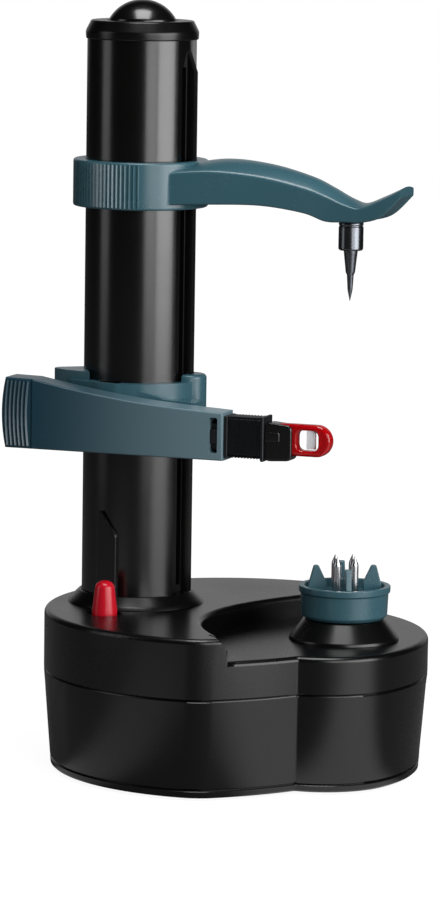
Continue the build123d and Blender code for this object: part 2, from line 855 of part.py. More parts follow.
with BuildPart() as cap_dome:
    add_disc(column_centre, cap_top - 3.5, dome_radius + 1.6, 1.4)
    add_disc(column_centre, cap_top - 3.5, dome_radius, 3.5)
    sphere_radius = (dome_radius**2 + dome_height**2) / (2 * dome_height)
    with BuildSketch(Plane.XZ):
        with BuildLine():
            rise = ThreePointArc(
                (dome_radius, cap_top),
                (
                    sphere_radius * sin(0.5 * atan2(dome_radius, sphere_radius - dome_height)),
                    cap_top + dome_height - sphere_radius
                    + sphere_radius * cos(0.5 * atan2(dome_radius, sphere_radius - dome_height)),
                ),
                (0, cap_top + dome_height),
            )
            Polyline(rise @ 1, (0, cap_top), rise @ 0)
        make_face()
    revolve(axis=Axis.Z)

with BuildPart() as screw_top_bush:
    with BuildSketch(Plane.XY.offset(bush_bottom)):
        add(tube_inside(fit))
        Circle(screw_journal + running_fit, mode=Mode.SUBTRACT)
    extrude(amount=tube_top - spigot - bush_bottom)

with BuildPart() as leadscrew:
    add_disc(column_centre, lower_plate_bottom, screw_journal, tube_top - spigot - lower_plate_bottom)
    add_disc(column_centre, thread_start - 8, screw_core, thread_end - thread_start + 12)
    with BuildLine() as path:
        Helix(pitch=lead, height=thread_end - thread_start, radius=screw_core, center=(0, 0, thread_start))
    with BuildSketch(Plane(origin=path.line @ 0, x_dir=(1, 0, 0), z_dir=path.line % 0)):
        with BuildLine():
            Polyline(
                (-0.3, -1.2),
                (screw_crest - screw_core, -0.6),
                (screw_crest - screw_core, 0.6),
                (-0.3, 1.2),
                close=True,
            )
        make_face()
    sweep(path=path.line, is_frenet=True)

save(column_tube, "column_tube")
save(column_foot_ring, "column_foot_ring")
save(column_cap, "column_cap")
save(cap_dome, "column_cap_dome")
save(screw_top_bush, "leadscrew_top_bush")
save(leadscrew, "leadscrew")


# Upper arm

arm_stations = (
    # distance from the column, half width, top edge and bottom edge over the collar's bottom, crown
    (16.0, 18.4, 14.1, 2.4, 1.2),
    (34.0, 15.4, 15.2, 3.4, 1.8),
    (52.0, 12.2, 13.9, 4.2, 2.4),
    (70.0, 9.8, 10.0, 1.5, 2.0),
    (80.0, 8.8, 6.4, -2.3, 1.2),
    (89.0, 8.4, 2.2, -2.2, 0.6),
    (98.0, 8.4, 5.0, 1.8, 0.5),
    (105.5, 8.2, 9.4, 7.0, 0.4),
)


def between(before, start, end, after, part):
    """Smooth value between start and end, with the slopes that their neighbours give."""
    slope_in = (end - before) / 2
    slope_out = (after - start) / 2
    rise = end - start
    return start + part * (slope_in + part * (3 * rise - 2 * slope_in - slope_out
                                              + part * (slope_in + slope_out - 2 * rise)))


def fine_stations(stations, steps):
    """The given cross-sections with smooth ones put in between."""
    last = len(stations) - 1
    result = []
    for index in range(last):
        before, start = stations[max(index - 1, 0)], stations[index]
        end, after = stations[index + 1], stations[min(index + 2, last)]
        for step in range(steps):
            result.append([between(*values, step / steps) for values in zip(before, start, end, after)])
    result.append(stations[last])
    return result


def arm_section(station, skin, drop):
    """Cross-section of the arm: a flat-bottomed bar with a crowned top, drawn inside its skin."""
    distance, half, top, bottom, crown = station
    half -= skin
    top += arm_bottom - skin
    bottom += arm_bottom - drop
    with BuildSketch(Plane.YZ.offset(distance)) as section:
        with BuildLine():
            crest = ThreePointArc((-half, top), (0, top + crown), (half, top))
            Polyline(crest @ 1, (half, bottom), (-half, bottom), crest @ 0)
        make_face()
    return section.sketch


with BuildPart() as arm_beam:
    for station in fine_stations(arm_stations, 4):
        add(arm_section(station, 0, 0))
    loft(ruled=True)

with BuildPart() as arm_hollow:
    for station in fine_stations(arm_stations[:4], 4):
        add(arm_section(station, arm_wall, 5.0))
    loft(ruled=True)

with BuildPart() as arm_ring:
    add_disc(column_centre, arm_bottom, arm_collar_radius, arm_collar_height)
    chamfer(arm_ring.edges().filter_by(GeomType.CIRCLE), length=0.6)

with BuildPart() as upper_arm:
    add(arm_beam.part)
    add(arm_hollow.part, mode=Mode.SUBTRACT)
    add(arm_ring.part)
    for side in (-1, 1):
        for index in range(arm_rib_count):
            angle = side * (arm_rib_start + index * arm_rib_pitch)
            with Locations(Location((0, 0, 0), (0, 0, angle))):
                with Locations((arm_collar_radius, 0, arm_bottom + arm_collar_height / 2)):
                    Box(1.2, 0.85, arm_collar_height - 1.4)
    add_disc(column_centre, arm_bottom - 1, bore_radius, arm_collar_height + 12, mode=Mode.SUBTRACT)
    add_block(
        (0, -rail_notch_half, arm_bottom - 1),
        (rail_notch_radius, rail_notch_half, arm_top + 1),
        mode=Mode.SUBTRACT,
    )
    # Pocket for the friction pad, at the back of the collar
    add_block(
        (-tube_radius - 3.0, -5, arm_bottom + 4),
        (-tube_radius + 2, 5, arm_top - 4),
        mode=Mode.SUBTRACT,
    )
    # Spindle boss over the food
    add_disc(holder_centre, sleeve_top, 5.6, 7.5)
    add_disc(holder_centre, sleeve_top - 3, sleeve_radius + soft_gap, 3, mode=Mode.SUBTRACT)
    add_disc(holder_centre, sleeve_top - 3, spindle_radius + running_fit, 9.6, mode=Mode.SUBTRACT)

with BuildPart() as arm_friction_pad:
    add_block(
        (-tube_radius - 2.8, -4.8, arm_bottom + 4.2),
        (-tube_radius + 2, 4.8, arm_top - 4.2),
    )
    add_disc(column_centre, arm_bottom, tube_radius + 0.02, arm_collar_height, mode=Mode.SUBTRACT)

with BuildPart() as top_spike:
    add_disc(holder_centre, sleeve_top - 1, spindle_radius, 6.8)
    with BuildSketch(Plane.XZ) as spike_profile:
        with BuildLine():
            Polyline(
                (holder_offset, sleeve_top - 0.3),
                (holder_offset + sleeve_radius - 0.6, sleeve_top - 0.3),
                (holder_offset + sleeve_radius, sleeve_top - 0.9),
                (holder_offset + sleeve_radius, sleeve_bottom + 2.0),
                (holder_offset + 2.5, sleeve_bottom),
                (holder_offset + 1.6, sleeve_bottom - 7.5),
                (holder_offset + 1.25, sleeve_bottom - 8.5),
                (holder_offset + 1.0, spike_tip_height + 4.0),
                (holder_offset, spike_tip_height),
                close=True,
            )
        make_face()
    revolve(spike_profile.sketch, axis=Axis((holder_offset, 0, 0), (0, 0, 1)))

save(upper_arm, "upper_arm")
save(arm_friction_pad, "arm_friction_pad")
save(top_spike, "top_spike")


# Carriage

nut_housing_x = carriage_radius - 3.8
pocket_end = nut_housing_x + nut_housing_radius - 1.8
yoke_thickness = 1.6
nut_middle = carriage_bottom + carriage_height / 2

with BuildPart() as carriage:
    add_disc(column_centre, carriage_bottom, carriage_radius, carriage_height)
    with BuildSketch(Plane.XY.offset(carriage_bottom)) as housing_plan:
        with Locations((nut_housing_x, 0)):
            Circle(nut_housing_radius)
    extrude(housing_plan.sketch, amount=nut_housing_top - carriage_bottom)
    fillet(carriage.edges().group_by(Axis.Z)[-1], radius=1.5)
    # Thumb rest at the back of the left side
    with BuildSketch(Plane.XY.offset(carriage_top - 9)) as rest_plan:
        with BuildLine():
            Polyline(
                (-12.0, -20.0),
                (-22.0, -17.8),
                (-28.8, -14.0),
                (-28.8, -10.5),
                (-20.5, -4.0),
                close=True,
            )
        make_face()
        fillet(rest_plan.vertices().group_by(Axis.X)[0], radius=1.2)
    extrude(rest_plan.sketch, amount=12.4)
    # Lug that carries the lever's hinge pin
    add_block((-4.0, pivot_y, lug_bottom), (4.0, -20.0, lug_bottom + lug_height))
    add_disc((0, pivot_y), lug_bottom, 4.0, lug_height)
    add_disc((0, pivot_y), lug_bottom - 1, pivot_radius + running_fit, 20, mode=Mode.SUBTRACT)
    # Bore with its notches for the rail and for the ramp
    add_disc(column_centre, carriage_bottom - 1, bore_radius, 60, mode=Mode.SUBTRACT)
    add_block(
        (0, -rail_notch_half, carriage_bottom - 1),
        (rail_notch_radius, rail_notch_half, nut_housing_top + 1),
        mode=Mode.SUBTRACT,
    )
    with BuildSketch(tangent_plane(pod_angle, tube_radius - 2)) as pod_notch:
        with Locations((0, nut_middle)):
            Rectangle(pod_width + 1.0, carriage_height + 20)
    extrude(pod_notch.sketch, amount=pod_radius - tube_radius + 2.4, mode=Mode.SUBTRACT)
    # Pocket for the half nut
    add_block(
        (tube_radius - 2, -nut_half_width - fit, nut_middle - nut_half_height - fit),
        (pocket_end, nut_half_width + fit, nut_middle + nut_half_height + fit),
        mode=Mode.SUBTRACT,
    )

with BuildPart() as half_nut:
    yoke_x = rail_notch_radius
    add_block(
        (screw_crest + 1.0, -nut_half_width, nut_middle - nut_half_height),
        (yoke_x + yoke_thickness, nut_half_width, nut_middle + nut_half_height),
    )
    # Room for the tube wall between the fork's legs and above and below them
    add_block(
        (tube_bore - channel_depth - 2.0, -slot_inner - 0.2, nut_middle - 20),
        (yoke_x, slot_inner + 0.2, nut_middle + 20),
        mode=Mode.SUBTRACT,
    )
    for side in (-1, 1):
        edges = sorted((side * (slot_inner + slot_width - 0.2), side * 20))
        add_block(
            (tube_bore - channel_depth - 2.0, edges[0], nut_middle - 20),
            (yoke_x, edges[1], nut_middle + 20),
            mode=Mode.SUBTRACT,
        )
    # Thread teeth that lie in the leadscrew's groove
    first_turn = int((nut_middle - nut_half_height - thread_start) / lead) + 1
    for turn in range(2):
        groove = thread_start + (first_turn + turn + 0.5) * lead
        add_block((screw_core + 0.3, -1.5, groove - 1.0), (screw_crest + 1.5, 1.5, groove + 1.0))

leaf_start = yoke_x + yoke_thickness
leaf_room = pocket_end - leaf_start
with BuildPart() as half_nut_spring:
    # Bowed leaf between the fork's yoke and the end of its pocket
    with BuildSketch(Plane.XY.offset(nut_middle - 3)) as leaf:
        with BuildLine():
            inner = ThreePointArc(
                (pocket_end - 0.05, -nut_half_width + 0.3),
                (leaf_start + 0.05, 0),
                (pocket_end - 0.05, nut_half_width - 0.3),
            )
            outer = ThreePointArc(
                (pocket_end - 0.05, nut_half_width - 0.8),
                (leaf_start + 0.35, 0),
                (pocket_end - 0.05, -nut_half_width + 0.8),
            )
            Line(inner @ 1, outer @ 0)
            Line(outer @ 1, inner @ 0)
        make_face()
    extrude(leaf.sketch, amount=6)

save(carriage, "carriage")
save(half_nut, "half_nut")
save(half_nut_spring, "half_nut_spring")


# Peeling lever

lever_length = lever_right - lever_left
pad_right = lever_left + pad_width
lever_bottom = carriage_bottom
bar_top_points = (
    (pad_right, pad_top - 0.2),
    (-9.0, pad_top - 3.6),
    (17.0, pad_top - 6.8),
    (lever_right, pad_top - 8.7),
)


def lever_profile(left, right, inset):
    """Side view of the lever bar between two ends, drawn inside its outline by inset."""
    with BuildSketch(Plane.XZ.offset(-lever_back)) as side_view:
        with BuildLine():
            top = Spline(*[(x, z - inset) for x, z in bar_top_points])
            Polyline(
                top @ 1,
                (lever_right, lever_bottom + inset),
                (lever_left, lever_bottom + inset),
                (lever_left, pad_top - inset),
                top @ 0,
            )
        make_face()
        with Locations(((left + right) / 2, lever_bottom + 15)):
            Rectangle(right - left, 60, mode=Mode.INTERSECT)
    return side_view.sketch


lever_depth = lever_back - lever_front
with BuildPart() as peeling_lever:
    extrude(lever_profile(lever_left, lever_right, 0), amount=lever_depth)
    fillet(peeling_lever.edges().filter_by(Axis.Z).group_by(Axis.X)[0], radius=2.5)
    fillet(
        peeling_lever.faces().sort_by(Axis.Y)[0].edges().filter_by(lambda e: abs(e.tangent_at(0.5).X) > 0.9),
        radius=0.8,
    )
    extrude(
        lever_profile(pad_right, socket_start - lever_wall, lever_wall),
        amount=lever_depth - lever_wall,
        mode=Mode.SUBTRACT,
    )
    extrude(
        lever_profile(lever_left + lever_wall, pad_right - lever_wall, lever_wall),
        amount=lever_depth - lever_wall,
        mode=Mode.SUBTRACT,
    )
    # Finger ribs on the pad
    for index in range(pad_rib_count):
        x = lever_left + 2.6 + index * pad_rib_pitch
        add_block(
            (x - 0.4, lever_front - 0.6, lever_bottom + 1.5),
            (x + 0.4, lever_front + 0.5, pad_top - 2.5),
        )
    # Socket for the blade cartridge's tongue, with the window for its catch
    add_block(
        (socket_start, grip_middle_y - tongue_half_y - fit, tongue_middle - tongue_half_z - fit),
        (lever_right + 1, grip_middle_y + tongue_half_y + fit, tongue_middle + tongue_half_z + fit),
        mode=Mode.SUBTRACT,
    )
    add_block(
        (window_left, lever_front - 1, lever_bottom + 2.4),
        (window_left + window_width, grip_middle_y, lever_bottom + 16.2),
        mode=Mode.SUBTRACT,
    )
    # Hinge bosses above and below the carriage's lug
    add_disc((0, pivot_y), lever_bottom, 3.6, lug_bottom - soft_gap - lever_bottom)
    upper_boss_bottom = lug_bottom + lug_height + spring_room
    add_disc((0, pivot_y), upper_boss_bottom, 3.6, hinge_top + 2.2 - upper_boss_bottom)
    add_disc((0, pivot_y), lever_bottom - 1, pivot_radius, hinge_top - lever_bottom + 1, mode=Mode.SUBTRACT)

with BuildPart() as lever_hinge_pin:
    add_disc((0, pivot_y), lever_bottom + 0.4, pivot_radius, hinge_top - lever_bottom - 0.4)

with BuildPart() as lever_spring:
    coil_bottom = lug_bottom + lug_height + 0.6
    with BuildLine() as coil:
        Helix(pitch=1.3, height=1.3 * 3.5, radius=2.9, center=(0, pivot_y, coil_bottom))
    with BuildSketch(Plane(origin=coil.line @ 0, z_dir=coil.line % 0)) as wire:
        Circle(0.45)
    sweep(wire.sketch, path=coil.line)
    start = coil.line @ 0
    end = coil.line @ 1
    with BuildSketch(Plane(origin=start, z_dir=(0, -1, 0))) as leg:
        Circle(0.44)
    extrude(leg.sketch, amount=pivot_y - lever_front - lever_wall - 0.5)
    with BuildSketch(Plane(origin=end, z_dir=(0, -1, 0))) as leg:
        Circle(0.44)
    extrude(leg.sketch, amount=-4.0)

save(peeling_lever, "peeling_lever")
save(lever_hinge_pin, "lever_hinge_pin")
save(lever_spring, "lever_spring")


# Blade cartridge

grip_top = grip_bottom + grip_height
grip_start = lever_right + fit
grip_end = grip_start + grip_length
grip_back = grip_middle_y + grip_thickness / 2
grip_front = grip_middle_y - grip_thickness / 2

with BuildPart() as blade_grip:
    add_block(
        (socket_start + 0.5, grip_middle_y - tongue_half_y, tongue_middle - tongue_half_z),
        (grip_start, grip_middle_y + tongue_half_y, tongue_middle + tongue_half_z),
    )
    add_block(
        (window_left + 0.2, lever_front + 0.6, tongue_middle - 2.5),
        (window_left + window_width - 0.2, grip_middle_y, tongue_middle + 2.5),
    )
    add_block((grip_start, grip_front + 0.7, grip_bottom + 0.7), (grip_end, grip_back - 0.7, grip_top - 0.7))
    rib_count = int(grip_length / grip_rib_pitch)
    for index in range(rib_count):
        x = grip_start + (index + 0.5) * grip_length / rib_count
        add_block((x - 0.35, grip_front, grip_bottom), (x + 0.35, grip_back, grip_top))
    add_block(
        (grip_end - 1.2, grip_front - 0.2, grip_bottom - 0.8),
        (grip_end, grip_back + 0.2, grip_top + 0.2),
    )

guard_middle = guard_bottom + guard_height / 2
guard_left = blade_holder_end - 5.0
loop_half = guard_height / 2
with BuildPart() as blade_holder:
    add_block(
        (grip_end, grip_middle_y - 3.6, grip_bottom - 0.6),
        (blade_holder_end, grip_middle_y + 3.6, grip_bottom + 14.0),
    )
    fillet(blade_holder.edges().filter_by(Axis.Y).group_by(Axis.X)[-1], radius=2.0)
    # Raised catch on the front
    add_block(
        (grip_end, grip_middle_y - 4.4, grip_bottom + 6.8),
        (grip_end + 6.0, grip_middle_y - 3.5, grip_bottom + 10.4),
    )
    # Fork that carries the blade and the guard
    add_block(
        (guard_left - 0.05, grip_middle_y - guard_thickness / 2 - 0.05, guard_bottom - 0.05),
        (guard_end, grip_middle_y + guard_thickness / 2 + 0.05, guard_bottom + guard_height + 0.05),
        mode=Mode.SUBTRACT,
    )

with BuildPart() as blade_guard:
    with BuildSketch(Plane.XZ.offset(-grip_middle_y + -guard_thickness / 2)) as loop:
        with Locations(((guard_left + guard_end - loop_half) / 2, guard_middle)):
            Rectangle(guard_end - loop_half - guard_left, guard_height)
        with Locations((guard_end - loop_half, guard_middle)):
            Circle(loop_half)
        slot_right = guard_end - guard_band
        slot_left = slot_right - guard_slot_length
        with Locations(((slot_left + slot_right) / 2, guard_middle)):
            RectangleRounded(slot_right - slot_left, guard_slot_height, 2.5, mode=Mode.SUBTRACT)
    extrude(loop.sketch, amount=guard_thickness)
    fillet(blade_guard.edges().filter_by(Axis.Y, reverse=True).filter_by(
        lambda e: e.center().X > guard_end - 3
    ), radius=1.2)

with BuildPart() as peeler_blade:
    blade_x = guard_end - guard_band - 2.2
    with BuildSketch(Plane.XY.offset(guard_middle - guard_slot_height / 2 + 0.3)) as edge_plan:
        with BuildLine():
            Polyline(
                (blade_x - 3.0, grip_middle_y + 0.4),
                (blade_x, grip_middle_y + 1.6),
                (blade_x + 0.5, grip_middle_y + 1.3),
                (blade_x - 2.8, grip_middle_y - 0.2),
                close=True,
            )
        make_face()
    extrude(edge_plan.sketch, amount=guard_slot_height - 0.6)

save(blade_grip, "blade_grip")
save(blade_holder, "blade_holder")
save(blade_guard, "blade_guard")
save(peeler_blade, "peeler_blade")


# Food holder

with BuildPart() as food_holder_cup:
    with BuildSketch(Plane.XZ) as cup_profile:
        with BuildLine():
            Polyline(
                (holder_offset, cup_bottom),
                (holder_offset + cup_base_radius - 0.8, cup_bottom),
                (holder_offset + cup_base_radius, cup_bottom + 0.8),
                (holder_offset + cup_rim_radius, cup_top - 1.0),
                (holder_offset + cup_rim_radius - 0.8, cup_top),
                (holder_offset + cup_rim_radius - 2.2, cup_top),
                (holder_offset + cup_rim_radius - 3.0, cup_top - cup_recess),
                (holder_offset, cup_top - cup_recess),
                close=True,
            )
        make_face()
    revolve(cup_profile.sketch, axis=Axis((holder_offset, 0, 0), (0, 0, 1)))
    for index in range(4):
        angle = fin_start + 90 * index
        turned = Plane(origin=(*holder_centre, 0), x_dir=(cos(radians(angle)), sin(radians(angle)), 0),
                       z_dir=(sin(radians(angle)), -cos(radians(angle)), 0))
        with BuildSketch(turned.offset(-fin_thickness / 2)) as fin:
            with BuildLine():
                Polyline(
                    (pin_circle + pin_radius + 0.8, cup_top - cup_recess - 0.5),
                    (cup_rim_radius - 3.2, cup_top - cup_recess - 0.5),
                    (cup_rim_radius - 3.6, cup_top),
                    (fin_top_radius, fin_top),
                    (fin_top_radius - 1.8, fin_top),
                    (pin_circle + pin_radius + 0.8, cup_top + 1),
                    close=True,
                )
            make_face()
        extrude(fin.sketch, amount=fin_thickness)
    add_disc(holder_centre, cup_bottom - 1, holder_shaft_radius, 8.0, mode=Mode.SUBTRACT)
    for index in range(pin_count):
        spot = along(holder_centre, pin_circle, 45 + fin_start + 360 / pin_count * index)
        add_disc(spot, cup_top - cup_recess - 4.0, pin_radius, 20, mode=Mode.SUBTRACT)

with BuildPart() as holder_pins:
    for index in range(pin_count):
        spot = along(holder_centre, pin_circle, 45 + fin_start + 360 / pin_count * index)
        with BuildSketch(Plane.XZ.offset(-spot[1])) as pin_profile:
            with BuildLine():
                Polyline(
                    (spot[0], cup_top - cup_recess - 4.0),
                    (spot[0] + pin_radius, cup_top - cup_recess - 4.0),
                    (spot[0] + pin_radius, pin_top - 3.0),
                    (spot[0], pin_top),
                    close=True,
                )
            make_face()
        revolve(pin_profile.sketch, axis=Axis((spot[0], spot[1], 0), (0, 0, 1)))

with BuildPart() as holder_shaft:
    add_disc(holder_centre, lower_plate_bottom, holder_shaft_radius, cup_bottom + 7.0 - lower_plate_bottom)

with BuildPart() as holder_pedestal:
    with BuildSketch(Plane.XZ) as cone:
        with BuildLine():
            Polyline(
                (holder_offset + holder_shaft_radius + running_fit, platform_height),
                (holder_offset + pedestal_radius, platform_height),
                (holder_offset + pedestal_radius - 0.4, platform_height + 1.0),
                (holder_offset + cup_base_radius, cup_bottom - soft_gap),
                (holder_offset + holder_shaft_radius + running_fit, cup_bottom - soft_gap),
                close=True,
            )
        make_face()
    revolve(cone.sketch, axis=Axis((holder_offset, 0, 0), (0, 0, 1)))
    add_disc(holder_centre, platform_underside, 4.5, base_wall)
    add_disc(holder_centre, platform_underside - 1, holder_shaft_radius + running_fit, 30, mode=Mode.SUBTRACT)

save(food_holder_cup, "food_holder_cup")
save(holder_pins, "holder_pins")
save(holder_shaft, "holder_shaft")
save(holder_pedestal, "holder_pedestal")


# Start button and switch

with BuildPart() as start_button:
    add_disc(button_centre, post_bottom, 1.4, flange_bottom - post_bottom)
    add_disc(button_centre, flange_bottom, 6.2, 1.5)
    add_disc(button_centre, flange_bottom, button_radius, deck_height + 1.5 - flange_bottom)
    with BuildSketch(Plane.XY.offset(deck_height + 1.5)) as foot:
        with Locations(button_centre):
            Circle(button_radius)
    with BuildSketch(Plane.XY.offset(button_top)) as crown:
        with Locations(button_centre):
            Circle(button_tip_radius)
    loft([foot.sketch, crown.sketch], ruled=True)
    fillet(start_button.edges().group_by(Axis.Z)[-1], radius=2.2)

with BuildPart() as button_spring:
    with BuildLine() as coil:
        Helix(
            pitch=(flange_bottom - switch_top - 0.9) / 3,
            height=flange_bottom - switch_top - 0.9,
            radius=3.4,
            center=(0, button_y, switch_top + 0.4),
        )
    with BuildSketch(Plane(origin=coil.line @ 0, z_dir=coil.line % 0)) as wire:
        Circle(0.35)
    sweep(wire.sketch, path=coil.line)

with BuildPart() as start_switch:
    add_block((-8.0, button_y - 4.0, switch_top - 8.5), (8.0, button_y + 4.0, switch_top))
    add_disc(button_centre, switch_top, 1.2, 0.9)
    for x in (-5.5, 0.0, 5.5):
        add_block((x - 0.8, button_y - 1.0, switch_top - 11.5), (x + 0.8, button_y - 0.6, switch_top - 8.5))

save(start_button, "start_button")
save(button_spring, "button_spring")
save(start_switch, "start_switch")


# Adapter inlet

with BuildPart() as adapter_inlet:
    inlet_y = inlet_wall_y
    with BuildSketch(Plane.XZ.offset(-inlet_y)) as inlet:
        with Locations((inlet_x, inlet_z)):
            Circle(inlet_radius)
    extrude(inlet.sketch, amount=inlet_depth)
    with BuildSketch(Plane.XZ.offset(-inlet_y)) as socket_plan:
        with Locations((inlet_x, inlet_z)):
            Circle(inlet_bore)
    extrude(socket_plan.sketch, amount=inlet_depth - 2.0, mode=Mode.SUBTRACT)
    with BuildSketch(Plane.XZ.offset(-inlet_y + 1.0)) as tip:
        with Locations((inlet_x, inlet_z)):
            Circle(1.0)
    extrude(tip.sketch, amount=inlet_depth - 2.0)

save(adapter_inlet, "adapter_inlet")


# Screws

def add_screw(centre, head_bottom, length):
    """Add an upright screw with its head at the bottom."""
    add_disc(centre, head_bottom, screw_head_radius, screw_head_height)
    add_disc(centre, head_bottom + screw_head_height, screw_radius, length)
    add_block(
        (centre[0] - 1.6, centre[1] - 0.3, head_bottom - 1),
        (centre[0] + 1.6, centre[1] + 0.3, head_bottom + 0.8),
        mode=Mode.SUBTRACT,
    )


with BuildPart() as housing_screws:
    for centre in housing_screw_centres:
        add_screw(centre, foot_height + 0.2, seam_height + screw_bite - foot_height - screw_head_height)

with BuildPart() as gearbox_screws:
    for centre in spacer_centres[:2]:
        add_screw(centre, lower_plate_bottom - screw_head_height, upper_plate_top - lower_plate_bottom + 5.0)
    for centre in spacer_centres[2:]:
        add_screw(centre, lower_plate_bottom - screw_head_height, upper_plate_top - lower_plate_bottom)

save(housing_screws, "housing_screws")
save(gearbox_screws, "gearbox_screws")
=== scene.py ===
import math

import bmesh
import bpy
from mathutils import Matrix, Vector


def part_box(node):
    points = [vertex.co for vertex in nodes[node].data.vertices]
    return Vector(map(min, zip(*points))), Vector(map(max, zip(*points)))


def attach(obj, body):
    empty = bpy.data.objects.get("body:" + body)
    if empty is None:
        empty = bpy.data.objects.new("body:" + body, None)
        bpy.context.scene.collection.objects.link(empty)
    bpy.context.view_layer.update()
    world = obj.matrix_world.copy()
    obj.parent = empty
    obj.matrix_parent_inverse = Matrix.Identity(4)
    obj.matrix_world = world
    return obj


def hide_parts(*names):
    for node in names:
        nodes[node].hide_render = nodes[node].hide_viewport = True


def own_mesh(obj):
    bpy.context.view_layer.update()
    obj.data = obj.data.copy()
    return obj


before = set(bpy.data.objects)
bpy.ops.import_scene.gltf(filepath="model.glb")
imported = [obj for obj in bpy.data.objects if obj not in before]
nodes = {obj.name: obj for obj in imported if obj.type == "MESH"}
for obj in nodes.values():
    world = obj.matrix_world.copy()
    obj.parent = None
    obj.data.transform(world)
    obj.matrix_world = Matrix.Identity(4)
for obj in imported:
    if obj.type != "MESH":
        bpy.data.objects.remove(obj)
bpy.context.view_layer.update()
mm = 0.001  # shapes are drawn in millimetres, the stage is in metres
past = 1.0  # how far a cutting shape reaches past what it cuts
columnAxis = (0.0, 0.0)
holderAxis = (84.0, 0.0)
deckTop = 60.8
print("frame loaded:", len(nodes), "nodes")


# mesh helpers

def addObject(name, mesh):
    piece = bpy.data.objects.new(name, mesh)
    bpy.context.scene.collection.objects.link(piece)
    return piece


def cleanMesh(mesh, merge=1e-7):
    build = bmesh.new()
    build.from_mesh(mesh)
    bmesh.ops.remove_doubles(build, verts=build.verts, dist=merge)
    bmesh.ops.dissolve_degenerate(build, edges=build.edges, dist=merge)
    bmesh.ops.recalc_face_normals(build, faces=build.faces)
    build.to_mesh(mesh)
    build.free()


def makePiece(name, points, faces):
    mesh = bpy.data.meshes.new(name)
    mesh.from_pydata([Vector(point) * mm for point in points], [], faces)
    cleanMesh(mesh)
    return addObject(name, mesh)


def stackRings(rings, closed=False):
    # faces between loops of equal length; open stacks get a cap at each end
    count = len(rings[0])
    points = [point for ring in rings for point in ring]
    faces = []
    last = len(rings) if closed else len(rings) - 1
    for level in range(last):
        low = level * count
        high = (level + 1) % len(rings) * count
        for index in range(count):
            after = (index + 1) % count
            faces.append((low + index, low + after, high + after, high + index))
    if not closed:
        faces.append(tuple(reversed(range(count))))
        faces.append(tuple(range(len(points) - count, len(points))))
    return points, faces


def roundCorners(points, radius, steps=4, closed=True):
    # replaces each corner of a flat outline by a short arc
    result = []
    count = len(points)
    for index, point in enumerate(points):
        if not closed and index in (0, count - 1):
            result.append(tuple(point))
            continue
        here = Vector(point)
        before = Vector(points[index - 1]) - here
        after = Vector(points[(index + 1) % count]) - here
        cut = min(radius, 0.45 * before.length, 0.45 * after.length)
        start = here + before.normalized() * cut
        end = here + after.normalized() * cut
        for step in range(steps + 1):
            part = step / steps
            spot = start.lerp(here, part).lerp(here.lerp(end, part), part)
            result.append(tuple(spot))
    return result


def turned(name, profile, centre, steps=128, closed=False):
    # a profile of (radius, height) points spun about an upright axis
    rings = []
    for radius, height in profile:
        ring = []
        for index in range(steps):
            angle = 2 * math.pi * index / steps
            ring.append((centre[0] + radius * math.cos(angle), centre[1] + radius * math.sin(angle), height))
        rings.append(ring)
    points, faces = stackRings(rings, closed)
    return makePiece(name, points, faces)


def lifted(points, base=deckTop):
    # an outline whose heights were given over a level
    return [(across, base + height) for across, height in points]


def section(points, radius, steps):
    # a rounded outline over the deck
    return roundCorners(lifted(points), radius, steps)


def solidSection(points, radius, steps):
    # the same for a section that starts and ends on its axis
    points = lifted(points)
    return [points[0]] + roundCorners(points[1:-1], radius, steps, False) + [points[-1]]


def rod(name, radius, low, high, steps=96):
    # plain round bar on the column's axis
    return turned(name, [(0, low), (radius, low), (radius, high), (0, high)], columnAxis, steps)


def insetLoop(loop, distance):
    # moves each corner of a counterclockwise outline inwards
    count = len(loop)
    result = []
    for index in range(count):
        here = Vector(loop[index])
        before = (here - Vector(loop[index - 1])).normalized()
        after = (Vector(loop[(index + 1) % count]) - here).normalized()
        normal = Vector((-before.y - after.y, before.x + after.x))
        if normal.length < 1e-6:
            normal = Vector((-before.y, before.x))
        normal.normalize()
        stretch = max(0.4, normal.dot(Vector((-before.y, before.x))))
        result.append(tuple(here + normal * distance / stretch))
    return result


def prism(name, outline, low, high, rim=0.6, steps=4, facing="Z"):
    # an outline given thickness between two levels, with rounded rims
    levels = [(low, 0.0), (high, 0.0)]
    if rim:
        turns = [math.pi / 2 * step / steps for step in range(steps + 1)]
        edges = [(rim * (1 - math.sin(turn)), rim * (1 - math.cos(turn))) for turn in turns]
        levels = [(low + depth, inset) for depth, inset in reversed(edges)]
        levels += [(high - depth, inset) for depth, inset in edges]
    rings = []
    for level, inset in levels:
        flat = insetLoop(outline, inset) if inset > 0 else outline
        if facing == "Z":
            rings.append([(x, y, level) for x, y in flat])
        elif facing == "Y":
            rings.append([(x, level, z) for x, z in flat])
        else:
            rings.append([(level, y, z) for y, z in flat])
    points, faces = stackRings(rings)
    return makePiece(name, points, faces)


def rectangle(lowA, lowB, highA, highB, radius=0.0, steps=4):
    corners = [(lowA, lowB), (highA, lowB), (highA, highB), (lowA, highB)]
    return roundCorners(corners, radius, steps) if radius else corners


def boxPiece(name, low, high, rim=0.0, steps=1, facing="Y", base=0.0):
    # block between two corners; the rims of the faces along one axis can be rounded
    across, along = (0, 1) if facing == "Y" else (1, 0)
    outline = rectangle(low[across], base + low[2], high[across], base + high[2], rim * 1.5)
    return prism(name, outline, low[along], high[along], rim, steps, facing)


def bakeModifiers(piece):
    bpy.context.view_layer.update()
    graph = bpy.context.evaluated_depsgraph_get()
    fresh = bpy.data.meshes.new_from_object(piece.evaluated_get(graph))
    piece.modifiers.clear()
    old = piece.data
    piece.data = fresh
    fresh.name = piece.name
    bpy.data.meshes.remove(old)
    return piece


def removePiece(piece):
    spent = piece.data
    bpy.data.objects.remove(piece)
    bpy.data.meshes.remove(spent)


